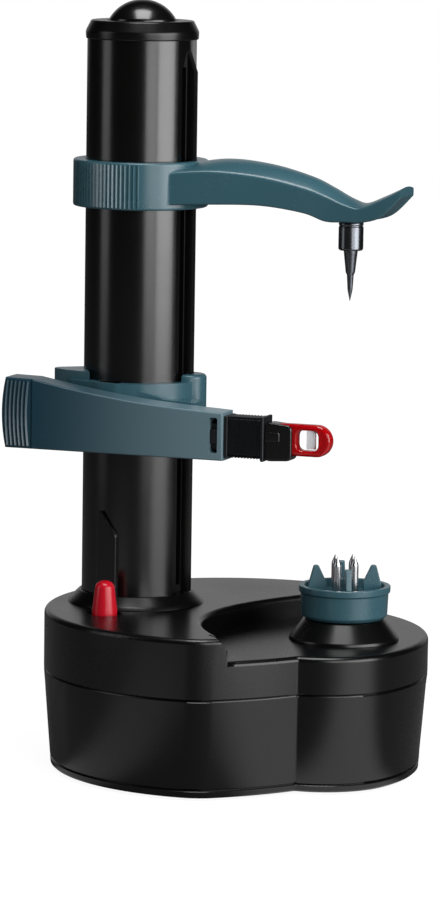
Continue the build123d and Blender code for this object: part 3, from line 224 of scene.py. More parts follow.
def combine(piece, other, operation):
    # boolean with another piece, which is used up
    tool = piece.modifiers.new("combine", "BOOLEAN")
    tool.operation = operation
    tool.solver = "EXACT"
    tool.object = other
    bakeModifiers(piece)
    removePiece(other)
    return piece


def joinPieces(piece, others):
    # one mesh from several, without cutting them
    build = bmesh.new()
    for part in [piece] + others:
        build.from_mesh(part.data)
    build.to_mesh(piece.data)
    build.free()
    for part in others:
        removePiece(part)
    return piece


def turnAbout(piece, centre, degrees):
    # turns a piece drawn at the origin and sets it over the centre
    middle = Matrix.Translation(Vector((*centre, 0)) * mm)
    piece.data.transform(middle @ Matrix.Rotation(math.radians(degrees), 4, "Z"))
    return piece


def shadeEdges(piece, angle):
    # soft shading, but for edges sharper than the angle
    piece.data.shade_smooth()
    piece.data.set_sharp_from_angle(angle=math.radians(angle))
    return piece


def smoothFaces(piece, angle=34, soften=0.0):
    # soft shading that keeps real edges, with a small bevel where asked
    shadeEdges(piece, angle)
    if soften:
        bevel = piece.modifiers.new("softEdges", "BEVEL")
        bevel.width = soften * mm
        bevel.segments = 2
        bevel.limit_method = "ANGLE"
        bevel.angle_limit = math.radians(angle)
        bevel.miter_outer = "MITER_ARC"
        bevel.harden_normals = False
        shadeEdges(bakeModifiers(piece), 50)
    weights = piece.modifiers.new("flatNormals", "WEIGHTED_NORMAL")
    weights.keep_sharp = True
    weights.weight = 60
    return piece


def skinOf(node, angle):
    # a merged copy of a CAD solid, so that its curved faces shade smoothly
    piece = addObject(node + "_skin", nodes[node].data.copy())
    piece.data.materials.clear()
    build = bmesh.new()
    build.from_mesh(piece.data)
    bmesh.ops.remove_doubles(build, verts=build.verts, dist=2e-6)
    bmesh.ops.dissolve_limit(build, angle_limit=math.radians(0.4), verts=build.verts, edges=build.edges)
    build.to_mesh(piece.data)
    build.free()
    return smoothFaces(piece, angle)


def place(piece, body, finish, slotName, *replaced):
    # material, body and the CAD nodes that the piece stands for; the record slot name is not used
    piece.data.materials.clear()
    piece.data.materials.append(finishes[finish])
    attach(piece, body)
    if replaced:
        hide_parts(*replaced)
    return piece


# shader groups

nodeLayout = {"across": 200, "down": 160, "rows": 4}


def addNode(tree, kind, feeds=(), **settings):
    # a node with its settings, then its inputs: each is a value or the socket that feeds it
    index = len(tree.nodes)
    node = tree.nodes.new(kind)
    node.location = (index * nodeLayout["across"], -(index % nodeLayout["rows"]) * nodeLayout["down"])
    for label, value in settings.items():
        setattr(node, label, value)
    for label, value in dict(feeds).items():
        if isinstance(value, bpy.types.NodeSocket):
            tree.links.new(value, node.inputs[label])
        else:
            node.inputs[label].default_value = value
    return node


def compute(tree, operation, *terms):
    # one step of arithmetic on numbers or sockets
    return addNode(tree, "ShaderNodeMath", enumerate(terms), operation=operation).outputs["Value"]


def startGroup(name, inputs, outputs):
    group = bpy.data.node_groups.new(name, "ShaderNodeTree")
    for label, value in inputs:
        socket = group.interface.new_socket(name=label, in_out="INPUT", socket_type="NodeSocketFloat")
        socket.default_value = value
    for label in outputs:
        group.interface.new_socket(name=label, in_out="OUTPUT", socket_type="NodeSocketFloat")
    return group, addNode(group, "NodeGroupInput").outputs


def mouldedPlasticGroup():
    # spark-eroded grain, slow tone drift and finger-rubbed gloss patches
    group, entry = startGroup(
        "mouldedPlastic",
        (("Grain Scale", 900.0), ("Patch Scale", 22.0), ("Rub Amount", 0.5)),
        ("Tone", "Gloss", "Height"),
    )
    spot = addNode(group, "ShaderNodeTexCoord").outputs["Object"]
    grain = addNode(group, "ShaderNodeTexNoise", {
        "Vector": spot, "Scale": entry["Grain Scale"], "Detail": 3.0, "Roughness": 0.65,
    }).outputs["Fac"]
    pits = addNode(group, "ShaderNodeTexVoronoi", {"Vector": spot, "Scale": entry["Grain Scale"]})
    patches = addNode(group, "ShaderNodeTexNoise", {
        "Vector": spot, "Scale": entry["Patch Scale"], "Detail": 4.0, "Roughness": 0.55,
    })
    drift = addNode(group, "ShaderNodeTexNoise", {"Vector": spot, "Scale": 9.0, "Detail": 1.5})
    rubbed = addNode(group, "ShaderNodeMapRange", {
        "Value": patches.outputs["Fac"], "From Min": 0.42, "From Max": 0.68,
    })
    amount = compute(group, "MULTIPLY", rubbed.outputs["Result"], entry["Rub Amount"])
    addNode(group, "NodeGroupOutput", {
        "Tone": drift.outputs["Fac"],
        "Gloss": compute(group, "MULTIPLY_ADD", grain, 0.3, amount),
        "Height": compute(group, "MULTIPLY_ADD", pits.outputs["Distance"], 0.55, grain),
    })
    return group


def machinedMetalGroup():
    # fine marks across one axis, for turned pins and drawn wire
    group, entry = startGroup(
        "machinedMetal",
        (("Mark Scale", 60.0), ("Along", 1.0), ("Across", 22.0)),
        ("Tone", "Gloss", "Height"),
    )
    spot = addNode(group, "ShaderNodeTexCoord").outputs["Object"]
    stretch = addNode(group, "ShaderNodeCombineXYZ", {
        "X": entry["Along"], "Y": entry["Along"], "Z": entry["Across"],
    })
    scaled = addNode(
        group, "ShaderNodeVectorMath", {0: spot, 1: stretch.outputs["Vector"]}, operation="MULTIPLY"
    )
    marks = addNode(group, "ShaderNodeTexNoise", {
        "Vector": scaled.outputs["Vector"], "Scale": entry["Mark Scale"], "Detail": 5.0,
    }).outputs["Fac"]
    stains = addNode(group, "ShaderNodeTexNoise", {"Vector": spot, "Scale": 120.0, "Detail": 3.0})
    stain = stains.outputs["Fac"]
    addNode(group, "NodeGroupOutput", {
        "Tone": stain, "Gloss": compute(group, "MULTIPLY_ADD", marks, 0.5, stain), "Height": marks,
    })
    return group


def shade(colour, factor):
    return tuple(min(1.0, part * factor) for part in colour) + (1.0,)


def paintedLightAlong(tree, look, colour):
    # painted shade and light: the colour turns from its given tone to a lighter, lit one along the piece's
    # X, standing in for how the lamps fall on it
    spot = addNode(tree, "ShaderNodeTexCoord")
    parts = addNode(tree, "ShaderNodeSeparateXYZ", {"Vector": spot.outputs["Object"]})
    start, end = look["fade"]
    share = addNode(tree, "ShaderNodeMapRange", {
        "Value": parts.outputs["X"], "From Min": start * mm, "From Max": end * mm,
    }, interpolation_type="SMOOTHSTEP")
    both = addNode(tree, "ShaderNodeMix", {
        "Factor": share.outputs["Result"], "A": colour, "B": (*look["fadeColour"], 1),
    }, data_type="RGBA")
    return both.outputs["Result"]


def surfaceMaterial(look, group, inputs, shared):
    # the group's maps vary the colour, the roughness and the bump of one shader
    material = bpy.data.materials.new(look["name"])
    material.use_nodes = True
    tree = material.node_tree
    tree.nodes.clear()
    maps = addNode(tree, "ShaderNodeGroup", inputs, node_tree=group).outputs
    spread = look.get("spread", 0.12)
    colour = addNode(tree, "ShaderNodeMix", {
        "Factor": maps["Tone"],
        "A": shade(look["colour"], 1 - spread), "B": shade(look["colour"], 1 + spread),
    }, data_type="RGBA").outputs["Result"]
    # painted light along the piece, where a look asks for it
    if "fade" in look:
        colour = paintedLightAlong(tree, look, colour)
    smoothest, roughest = look["rough"]
    strength, depth = look["bump"]
    rough = addNode(tree, "ShaderNodeMapRange", {
        "Value": maps["Gloss"], "To Min": smoothest, "To Max": roughest,
    })
    bump = addNode(tree, "ShaderNodeBump", {
        "Strength": strength, "Distance": depth * mm, "Height": maps["Height"],
    })
    shader = addNode(tree, "ShaderNodeBsdfPrincipled", {
        "Base Color": colour, "Roughness": rough.outputs["Result"], "Normal": bump.outputs["Normal"],
        **shared, **look.get("shader", {}),
    })
    addNode(tree, "ShaderNodeOutputMaterial", {"Surface": shader.outputs["BSDF"]})
    return material


# bump is its strength and its depth in mm; maps are the values for the group of maps
plastics = {
    "satinBlack": {"name": "satinBlackHousing", "colour": (0.002, 0.002, 0.0023), "rough": (0.24, 0.36),
                   "bump": (0.1, 0.05), "maps": (1500.0, 26.0, 0.25), "shader": {"Specular IOR Level": 0.5}},
    "glossBlack": {"name": "glossBlackTube", "colour": (0.0024, 0.0021, 0.002), "rough": (0.19, 0.27),
                   "bump": (0.02, 0.04), "maps": (260.0, 30.0, 0.4), "shader": {"Specular IOR Level": 0.8}},
    "slateBlue": {"name": "slateBluePlastic", "colour": (0.04, 0.112, 0.142), "rough": (0.24, 0.38),
                  "bump": (0.06, 0.05), "maps": (1100.0, 34.0, 0.35), "spread": 0.08,
                  "shader": {"Specular IOR Level": 0.65}},
    # the lever's teal plastic, painted as a darker, shaded copy of slateBlue; fade and its colour paint
    # light that grows along the lever to a lighter, lit tone at its right end
    "leverPaintedLightBlue": {"name": "tealLeverPaintedShadeAndLight", "colour": (0.01, 0.046, 0.07), "rough": (0.26, 0.4),
                  "bump": (0.06, 0.05), "maps": (1100.0, 34.0, 0.35), "spread": 0.08,
                  "fade": (-34.0, 52.0), "fadeColour": (0.15, 0.235, 0.275)},
    "gripBlack": {"name": "gripBlackPlastic", "colour": (0.006, 0.0075, 0.0105), "rough": (0.3, 0.5),
                  "bump": (0.14, 0.06), "maps": (1700.0, 60.0, 0.5)},
    "redClear": {"name": "clearRedGuard", "colour": (0.66, 0.004, 0.008), "rough": (0.05, 0.14),
                 "bump": (0.03, 0.04), "maps": (400.0, 90.0, 0.3),
                 "shader": {"Transmission Weight": 0.45, "IOR": 1.49}},
    "buttonRed": {"name": "startButtonRed", "colour": (0.58, 0.006, 0.02), "rough": (0.2, 0.34),
                  "bump": (0.05, 0.04), "maps": (900.0, 120.0, 0.5)},
    "rubber": {"name": "footRubber", "colour": (0.022, 0.022, 0.023), "rough": (0.68, 0.88),
               "bump": (0.35, 0.12), "maps": (1400.0, 80.0, 0.3)},
    "nylon": {"name": "naturalNylon", "colour": (0.72, 0.69, 0.58), "rough": (0.38, 0.56),
              "bump": (0.08, 0.05), "maps": (700.0, 60.0, 0.4), "shader": {"Subsurface Weight": 0.1}},
    "cellWrap": {"name": "cellSleeve", "colour": (0.03, 0.05, 0.09), "rough": (0.2, 0.34),
                 "bump": (0.03, 0.04), "maps": (300.0, 50.0, 0.4)},
}
metals = {
    "brightSteel": {"name": "polishedSteel", "colour": (0.74, 0.75, 0.77), "rough": (0.09, 0.24),
                    "bump": (0.05, 0.02), "maps": (240.0, 1.0, 9.0), "spread": 0.05},
    "darkSteel": {"name": "darkPolishedSteel", "colour": (0.17, 0.18, 0.2), "rough": (0.14, 0.28),
                  "bump": (0.05, 0.02), "maps": (240.0, 1.0, 12.0), "spread": 0.08},
    "groundSteel": {"name": "groundBladeSteel", "colour": (0.66, 0.67, 0.69), "rough": (0.18, 0.4),
                    "bump": (0.14, 0.03), "maps": (420.0, 1.0, 14.0)},
    "zincSteel": {"name": "zincPlatedSteel", "colour": (0.6, 0.61, 0.62), "rough": (0.26, 0.5),
                  "bump": (0.1, 0.03), "maps": (160.0, 3.0, 3.0)},
    "springSteel": {"name": "springWire", "colour": (0.42, 0.42, 0.44), "rough": (0.22, 0.42),
                    "bump": (0.1, 0.02), "maps": (500.0, 2.0, 1.0)},
    "brass": {"name": "turnedBrass", "colour": (0.72, 0.52, 0.22), "rough": (0.2, 0.4),
              "bump": (0.08, 0.03), "maps": (260.0, 1.0, 10.0)},
}
finishes = {}
for looks, group, labels, shared in (
    (plastics, mouldedPlasticGroup(), ("Grain Scale", "Patch Scale", "Rub Amount"), {}),
    (metals, machinedMetalGroup(), ("Mark Scale", "Along", "Across"), {"Metallic": 1.0}),
):
    for finish, look in looks.items():
        finishes[finish] = surfaceMaterial(look, group, dict(zip(labels, look["maps"])), shared)
print("materials made:", len(finishes))


# repeated ribs, one tree for a ring of them and one for a row

def startTree(name, inputs):
    tree = bpy.data.node_groups.new(name, "GeometryNodeTree")
    for label, kind, value in inputs:
        socket = tree.interface.new_socket(name=label, in_out="INPUT", socket_type=kind)
        if value is not None:
            socket.default_value = value
    tree.interface.new_socket(name="Geometry", in_out="OUTPUT", socket_type="NodeSocketGeometry")
    return tree, addNode(tree, "NodeGroupInput").outputs


ribInputs = (
    ("Rib Depth", "NodeSocketFloat", 0.001), ("Rib Width", "NodeSocketFloat", 0.001),
    ("Rib Height", "NodeSocketFloat", 0.01), ("Sides", "NodeSocketInt", 16),
    ("Material", "NodeSocketMaterial", None),
)


def ribShape(tree, entry):
    # one rib with a rounded face: a squashed cylinder standing on end
    stave = addNode(tree, "GeometryNodeMeshCylinder", {
        "Vertices": entry["Sides"], "Side Segments": 12, "Radius": 1.0, "Depth": 1.0,
    })
    size = addNode(tree, "ShaderNodeCombineXYZ", {
        "X": entry["Rib Depth"], "Y": entry["Rib Width"], "Z": entry["Rib Height"],
    })
    return addNode(tree, "GeometryNodeTransform", {
        "Geometry": stave.outputs["Mesh"], "Scale": size.outputs["Vector"],
    }).outputs["Geometry"]


def bentRib(tree, entry):
    # the rib's middle leans towards -X, like a barrel's stave
    spot = addNode(tree, "GeometryNodeInputPosition")
    parts = addNode(tree, "ShaderNodeSeparateXYZ", {"Vector": spot.outputs["Position"]})
    share = compute(tree, "DIVIDE", parts.outputs["Z"], entry["Rib Height"])
    square = compute(tree, "MULTIPLY", share, share)
    drop = compute(tree, "MULTIPLY_ADD", square, 4.0, -1.0)
    shift = addNode(tree, "ShaderNodeCombineXYZ", {
        "X": compute(tree, "MULTIPLY", drop, entry["Bend"]),
    })
    return addNode(tree, "GeometryNodeSetPosition", {
        "Geometry": ribShape(tree, entry), "Offset": shift.outputs["Vector"],
    }).outputs["Geometry"]


def finishTree(tree, entry, **spread):
    # copies of the rib on the points, made real and given their material
    copies = addNode(tree, "GeometryNodeInstanceOnPoints", spread)
    real = addNode(tree, "GeometryNodeRealizeInstances", {"Geometry": copies.outputs["Instances"]})
    paint = addNode(tree, "GeometryNodeSetMaterial", {
        "Geometry": real.outputs["Geometry"], "Material": entry["Material"],
    })
    addNode(tree, "NodeGroupOutput", {"Geometry": paint.outputs["Geometry"]})
    return tree


def ribRingTree():
    tree, entry = startTree("ribRing", (
        ("Count", "NodeSocketInt", 10), ("Ring Radius", "NodeSocketFloat", 0.02),
        ("Start Angle", "NodeSocketFloat", 0.0), ("Step Angle", "NodeSocketFloat", 0.1),
        ("Middle Height", "NodeSocketFloat", 0.0), *ribInputs,
    ))
    line = addNode(tree, "GeometryNodeMeshLine", {"Count": entry["Count"], "Offset": (0, 0, 0)})
    index = addNode(tree, "GeometryNodeInputIndex")
    angle = compute(tree, "MULTIPLY_ADD", index.outputs["Index"], entry["Step Angle"], entry["Start Angle"])
    across, along = (
        compute(tree, "MULTIPLY", compute(tree, operation, angle), entry["Ring Radius"])
        for operation in ("COSINE", "SINE")
    )
    spot = addNode(tree, "ShaderNodeCombineXYZ", {
        "X": across, "Y": along, "Z": entry["Middle Height"],
    })
    moved = addNode(tree, "GeometryNodeSetPosition", {
        "Geometry": line.outputs["Mesh"], "Position": spot.outputs["Vector"],
    })
    turn = addNode(tree, "ShaderNodeCombineXYZ", {"Z": angle})
    return finishTree(
        tree, entry, Points=moved.outputs["Geometry"], Instance=ribShape(tree, entry),
        Rotation=turn.outputs["Vector"],
    )


def ribRowTree():
    tree, entry = startTree("ribRow", (
        ("Count", "NodeSocketInt", 6), ("Start", "NodeSocketVector", (0, 0, 0)),
        ("Step", "NodeSocketVector", (0.001, 0, 0)), ("Bend", "NodeSocketFloat", 0.0), *ribInputs,
    ))
    line = addNode(tree, "GeometryNodeMeshLine", {
        "Count": entry["Count"], "Start Location": entry["Start"], "Offset": entry["Step"],
    })
    return finishTree(tree, entry, Points=line.outputs["Mesh"], Instance=bentRib(tree, entry))


def growRibs(name, tree, finish, angle, values):
    # runs a rib tree once and keeps its result as a plain mesh
    seed = addObject(name, bpy.data.meshes.new(name))
    grow = seed.modifiers.new("grow", "NODES")
    grow.node_group = tree
    values = {**values, "Material": finishes[finish]}
    for item in tree.interface.items_tree:
        if item.in_out == "INPUT" and item.name in values:
            grow[item.identifier] = values[item.name]
    cleanMesh(bakeModifiers(seed).data)
    return shadeEdges(seed, angle)


ribRing = ribRingTree()
ribRow = ribRowTree()


# base

housing = {"nodes": ("base_upper_housing", "base_lower_housing", "base_cover"), "sharpAngle": 30}

for node in housing["nodes"]:
    place(skinOf(node, housing["sharpAngle"]), "base", "satinBlack", "housing_black", node)
print("base dressed")


# column; sections here and below are distance from the axis and height over the deck

tube = {
    "bottom": deckTop - 8.5, "top": deckTop + 214.0, "radius": 20.7, "bore": 16.6, "steps": 256,
    "channelHalf": 28.0, "channelDepth": 1.7, "channelBottom": deckTop + 4.7, "channelReach": 4.0,
    # inner and outer radius and half width, then the levels of its foot, ramp and end
    "rail": (17.9, 21.8, 2.0), "railLevels": (deckTop + 5.0, deckTop + 202.0, deckTop + 210.0),
    "railEdge": 0.25,
    # a slot's two sides from the middle, and the radii and levels that it spans
    "slot": (2.8, 5.4), "slotRadii": (10.3, 23.7), "slotLevels": (deckTop + 8.0, deckTop + 204.0),
    "pod": ((-4.2, 3.7), (4.2, 3.7), (4.2, 28.0), (-2.7, 37.0), (-4.2, 37.0)),
    "podDepth": (-22.2, -19.5), "podTurn": -10.0, "podEdge": 0.7, "podRim": 0.45,
}


def ringArc(radius, start, end, steps):
    span = math.radians(end - start)
    first = math.radians(start)
    return [
        (radius * math.cos(first + span * step / steps), radius * math.sin(first + span * step / steps))
        for step in range(steps + 1)
    ]


def tubeBody():
    # round tube with the channel for the rail sunk into its side
    half = tube["channelHalf"]
    floor = tube["radius"] - tube["channelDepth"]
    body = rod("columnTube", tube["radius"], tube["bottom"], tube["top"], tube["steps"])
    sunk = ringArc(tube["radius"] + tube["channelReach"], -half, half, 40) + ringArc(floor, half, -half, 40)
    combine(body, prism("channel", sunk, tube["channelBottom"], tube["top"] + past, 0), "DIFFERENCE")
    inner, outer, wide = tube["rail"]
    low, ramp, high = tube["railLevels"]
    railSide = [(inner, low), (outer, low), (outer, ramp), (floor, high), (inner, high)]
    combine(body, prism("rail", railSide, -wide, wide, tube["railEdge"], 2, "Y"), "UNION")
    combine(body, rod("bore", tube["bore"], tube["bottom"] - past, tube["top"] + past), "DIFFERENCE")
    x0, x1 = tube["slotRadii"]
    z0, z1 = tube["slotLevels"]
    for side in (-1, 1):
        near, far = sorted(side * edge for edge in tube["slot"])
        combine(body, boxPiece("slot", (x0, near, z0), (x1, far, z1)), "DIFFERENCE")
    return body


def tubePod():
    # low ramp in front, over the button's wiring
    outline = section(tube["pod"], tube["podEdge"], 4)
    pod = prism("pod", outline, *tube["podDepth"], tube["podRim"], 3, "Y")
    return turnAbout(pod, columnAxis, tube["podTurn"])


columnTube = combine(tubeBody(), tubePod(), "UNION")
place(smoothFaces(columnTube, 24), "base", "glossBlack", "gloss_black", "column_tube")

cap = {
    "section": ((14.6, 214.0), (21.2, 214.0), (21.35, 216.9), (19.3, 221.0), (13.4, 221.0), (13.1, 219.6),
                (14.6, 219.4)),
    "edge": 0.55, "skirt": deckTop + 217.6, "base": deckTop + 221.0, "radius": 12.8, "height": 7.8,
}
capProfile = roundCorners(lifted(cap["section"]), cap["edge"], 4, False)
capRing = turned("capRing", capProfile, columnAxis, 160, True)
place(smoothFaces(capRing), "base", "satinBlack", "gloss_black", "column_cap")


def domeProfile(radius, height, base, skirt, steps=14):
    # the top of a large ball over a short upright skirt
    ball = (radius * radius + height * height) / (2 * height)
    opening = math.asin(radius / ball)
    points = [(0.0, skirt), (radius, skirt), (radius, base)]
    for step in range(1, steps + 1):
        angle = opening * (1 - step / steps)
        points.append((ball * math.sin(angle), base + height - ball + ball * math.cos(angle)))
    return points


dome = domeProfile(cap["radius"], cap["height"], cap["base"], cap["skirt"])
capDome = turned("capDome", dome, columnAxis, 128)
place(smoothFaces(capDome, 40), "base", "glossBlack", "gloss_black", "column_cap_dome")

footRing = {"section": ((20.76, 0.0), (26.0, 0.0), (25.1, 1.3), (21.7, 4.7), (20.76, 4.7)), "edge": 0.35}
footSkirt = turned("footSkirt", section(footRing["section"], footRing["edge"], 3), columnAxis, 160, True)
place(smoothFaces(footSkirt), "base", "satinBlack", "gloss_black", "column_foot_ring")
print("column dressed")


# upper arm

arm = {
    "collarBottom": deckTop + 151.2, "collarTop": deckTop + 168.9, "collarRadius": 25.5, "collarEdge": 0.9,
    "bore": 20.8, "railCut": (10.0, 22.2, 2.4), "cutReach": 20.0,
    "ribCount": 17, "ribStart": 71.5, "ribStep": 3.7, "ribDepth": 0.62, "ribWidth": 0.56, "ribSunk": 0.05,
    "ribShort": 1.6, "ribAngle": 34,
    "edge": 0.975, "sectionSteps": 4, "stationSteps": 8, "crownSteps": 12, "barAngle": 38,
    # the hollow's walls and roof, the least depth, where it ends and over which length it fades
    "wall": 2.2, "roof": 3.2, "shallow": 0.5, "hollowEnd": 72.0, "hollowFade": 34.0,
    "boss": (2.56, 5.6), "bossLevels": (deckTop + 149.0, deckTop + 153.5), "bossEdge": 0.4,
    # distance from the column, half width, top and bottom edge over the collar's bottom, crown
    "stations": (
        (16.0, 18.4, 14.1, 1.9, 1.8), (34.0, 15.4, 15.2, 2.7, 3.8),
        (52.0, 12.2, 13.5, 2.8, 4.2), (68.0, 10.0, 10.0, 0.6, 3.8),
        (76.5, 9.0, 7.1, -2.25, 3.0), (84.0, 8.6, 4.2, -2.25, 2.0),
        (90.0, 8.4, 3.2, -2.2, 1.5), (98.0, 8.4, 6.4, 0.2, 1.4), (105.5, 8.2, 10.4, 7.4, 1.0),
    ),
}


def smoothStations(stations, steps):
    # cubic through the given cross-sections
    last = len(stations) - 1
    result = []
    for index in range(last):
        rows = [stations[max(index - 1, 0)], stations[index], stations[index + 1],
                stations[min(index + 2, last)]]
        for step in range(steps):
            part = step / steps
            result.append([
                b + part * ((c - a) / 2 + part * ((a - 2.5 * b + 2 * c - 0.5 * d)
                                                  + part * (1.5 * (b - c) + 0.5 * (d - a))))
                for a, b, c, d in zip(*rows)
            ])
    result.append(stations[last])
    return result


def hollowDepth(distance, height):
    # the moulding is open below as far as the spindle's boss
    fade = max(0.0, min(1.0, (arm["hollowEnd"] - distance) / arm["hollowFade"]))
    deep = max(arm["shallow"], height - arm["roof"])
    return arm["shallow"] + (deep - arm["shallow"]) * (fade * fade * (3 - 2 * fade))


def armSection(station):
    distance, half, top, bottom, crown = station
    roof = bottom + hollowDepth(distance, top - bottom)
    crownPoints = []
    for step in range(1, arm["crownSteps"]):
        y = -half + 2 * half * step / arm["crownSteps"]
        crownPoints.append((y, top + crown * (1 - (y / half) ** 2)))
    inside = half - arm["wall"]
    shape = roundCorners([
        (-half, bottom), (-half, top), *crownPoints, (half, top), (half, bottom),
        (inside, bottom), (inside, roof), (-inside, roof), (-inside, bottom),
    ], arm["edge"], arm["sectionSteps"])
    return [(distance, y, arm["collarBottom"] + z) for y, z in shape]


armRings = [armSection(station) for station in smoothStations(arm["stations"], arm["stationSteps"])]
armBar = makePiece("upperArm", *stackRings(armRings))
collarProfile = rectangle(
    arm["bore"], arm["collarBottom"], arm["collarRadius"], arm["collarTop"], arm["collarEdge"]
)
cutLow = arm["collarBottom"] - arm["cutReach"]
cutHigh = arm["collarTop"] + arm["cutReach"]
railStart, railEnd, railHalf = arm["railCut"]
combine(armBar, rod("boreCut", arm["bore"], cutLow, cutHigh, 192), "DIFFERENCE")
combine(armBar, turned("armCollar", collarProfile, columnAxis, 192, True), "UNION")
railOutline = rectangle(railStart, -railHalf, railEnd, railHalf)
combine(armBar, prism("railCut", railOutline, cutLow, cutHigh, 0), "DIFFERENCE")
(bossInner, bossOuter), (bossLow, bossHigh) = arm["boss"], arm["bossLevels"]
bossProfile = rectangle(bossInner, bossLow, bossOuter, bossHigh, arm["bossEdge"], 3)
armPieces = [shadeEdges(turned("armBoss", bossProfile, holderAxis, 64, True), arm["ribAngle"])]
for side in (-1, 1):
    armPieces.append(growRibs("armRibs", ribRing, "slateBlue", arm["ribAngle"], {
        "Count": arm["ribCount"],
        "Ring Radius": (arm["collarRadius"] - arm["ribSunk"]) * mm,
        "Start Angle": math.radians(side * arm["ribStart"]),
        "Step Angle": math.radians(side * arm["ribStep"]),
        "Middle Height": (arm["collarBottom"] + arm["collarTop"]) / 2 * mm,
        "Rib Depth": arm["ribDepth"] * mm,
        "Rib Width": arm["ribWidth"] * mm,
        "Rib Height": (arm["collarTop"] - arm["collarBottom"] - arm["ribShort"]) * mm,
        "Sides": 4,
    }))
joinPieces(smoothFaces(armBar, arm["barAngle"]), armPieces)
place(armBar, "arm", "slateBlue", "teal_plastic", "upper_arm")

spike = {
    # point, shank, the sleeve with its groove, and the spindle in the arm
    "section": (
        (0.0, 119.0), (0.12, 119.2), (0.95, 123.2), (1.3, 128.9), (1.75, 129.7), (2.6, 137.5),
        (2.6, 137.95), (4.15, 138.0), (4.65, 138.6), (4.65, 146.8), (4.43, 147.0), (4.43, 147.4),
        (4.65, 147.6), (4.65, 148.3), (4.25, 148.7), (2.5, 148.7), (2.5, 154.6), (0.0, 154.6),
    ),
    "edge": 0.22,
}
spikeTurned = turned("foodSpike", solidSection(spike["section"], spike["edge"], 3), holderAxis, 96)
place(smoothFaces(spikeTurned, 30), "spike", "darkSteel", "dark_pin", "top_spike")
print("upper arm dressed")


# carriage

carriage = {
    "bottom": deckTop + 61.2, "bore": 22.9, "softEdge": 0.3, "sharpAngle": 30,
    # plan of the apron behind the lever, and its side view over the carriage's bottom
    "apron": ((-21.0, -13.0), (-20.0, -19.2), (-6.0, -23.6), (0.0, -24.9), (6.0, -23.6), (29.5, -18.2),
              (30.0, -8.0)),
    "apronSide": ((-22.0, 11.0), (31.0, 11.0), (31.0, 18.2), (18.0, 19.4), (16.5, 20.2), (1.5, 24.6),
                  (-22.0, 24.8)),
    "apronLevels": (12.0, 26.0), "apronDepth": (-26.0, -5.0), "boreLevels": (10.0, 30.0),
}
carriageSkin = bakeModifiers(skinOf("carriage", carriage["sharpAngle"]))
low, high = (carriage["bottom"] + level for level in carriage["apronLevels"])
apron = prism("apron", carriage["apron"], low, high, 0)
apronSide = lifted(carriage["apronSide"], carriage["bottom"])
combine(apron, prism("apronSide", apronSide, *carriage["apronDepth"], 0, 1, "Y"), "INTERSECT")
low, high = (carriage["bottom"] + level for level in carriage["boreLevels"])
combine(apron, rod("apronBore", carriage["bore"], low, high), "DIFFERENCE")
combine(carriageSkin, apron, "UNION")
smoothFaces(carriageSkin, carriage["sharpAngle"], carriage["softEdge"])
place(carriageSkin, "carriage", "slateBlue", "teal_plastic", "carriage")
print("carriage dressed")


# peeling lever

lever = {
    "front": -37.5, "back": -25.5, "left": -40.6, "right": 47.8, "bottom": deckTop + 61.2, "wall": 2.0,
    "padRight": -28.6, "padHeight": 26.6, "barrel": 1.5, "rim": 0.8, "hollowRim": 0.3,
    # distance from the column and height over the bottom edge
    "topLine": ((-28.6, 26.4), (-9.0, 23.0), (17.0, 19.8), (47.8, 17.9)),
    "ribCount": 6, "ribStart": -38.0, "ribPitch": 1.62, "ribDepth": 0.6, "ribWidth": 0.62,
    "ribMiddle": 13.3, "ribHeight": 24.4, "ribBend": 0.825, "ribSunk": 0.05, "ribAngle": 40,
    "hollowRight": 32.0,
    # window for the catch, socket for the tongue and groove beside the pad: two opposite corners
    # with heights over the bottom edge, then their rounding and its steps
    "cuts": (
        ((42.6, -38.5, 2.8), (45.8, -31.0, 16.0), 0.5, 2),
        ((34.0, -35.1, 3.9), (48.8, -28.1, 14.1), 0.0, 1),
        ((-28.85, -38.5, -1.0), (-28.15, -36.95, 30.0), 0.0, 1),
    ),
    # both hinge bosses: bore and radius, then the levels over the bottom edge
    "hinge": (0.0, -30.8), "boss": (1.52, 3.6), "bossLevels": ((0.0, 2.7), (16.6, 20.7)), "bossEdge": 0.3,
}


def topEdge(first, last, steps=30):
    # smooth upper edge of the bar between two distances from the column
    rows = smoothStations(lever["topLine"], 12)
    edge = []
    for step in range(steps + 1):
        x = first + (last - first) * step / steps
        for before, after in zip(rows, rows[1:]):
            if before[0] <= x <= after[0] or after is rows[-1]:
                share = (x - before[0]) / (after[0] - before[0])
                edge.append((x, before[1] + (after[1] - before[1]) * share))
                break
    return edge


def barOutline(first, last, inset):
    # side view of the bar, counterclockwise from its lower left corner
    z = lever["bottom"]
    edge = lifted(reversed(topEdge(first, last)), z - inset)
    return [(first, z + inset), (last, z + inset)] + edge


def leverOutline():
    # the bar with the finger pad's barrel-shaped end
    z = lever["bottom"]
    corner = lever["left"] + lever["barrel"]
    end = [(corner, z + lever["padHeight"])]
    for step in range(1, 16):
        share = step / 8 - 1
        depth = lever["barrel"] * share * share
        end.append((lever["left"] + depth, z + lever["padHeight"] / 2 * (1 - share)))
    return barOutline(lever["padRight"], lever["right"], 0)[1:] + end + [(corner, z)]


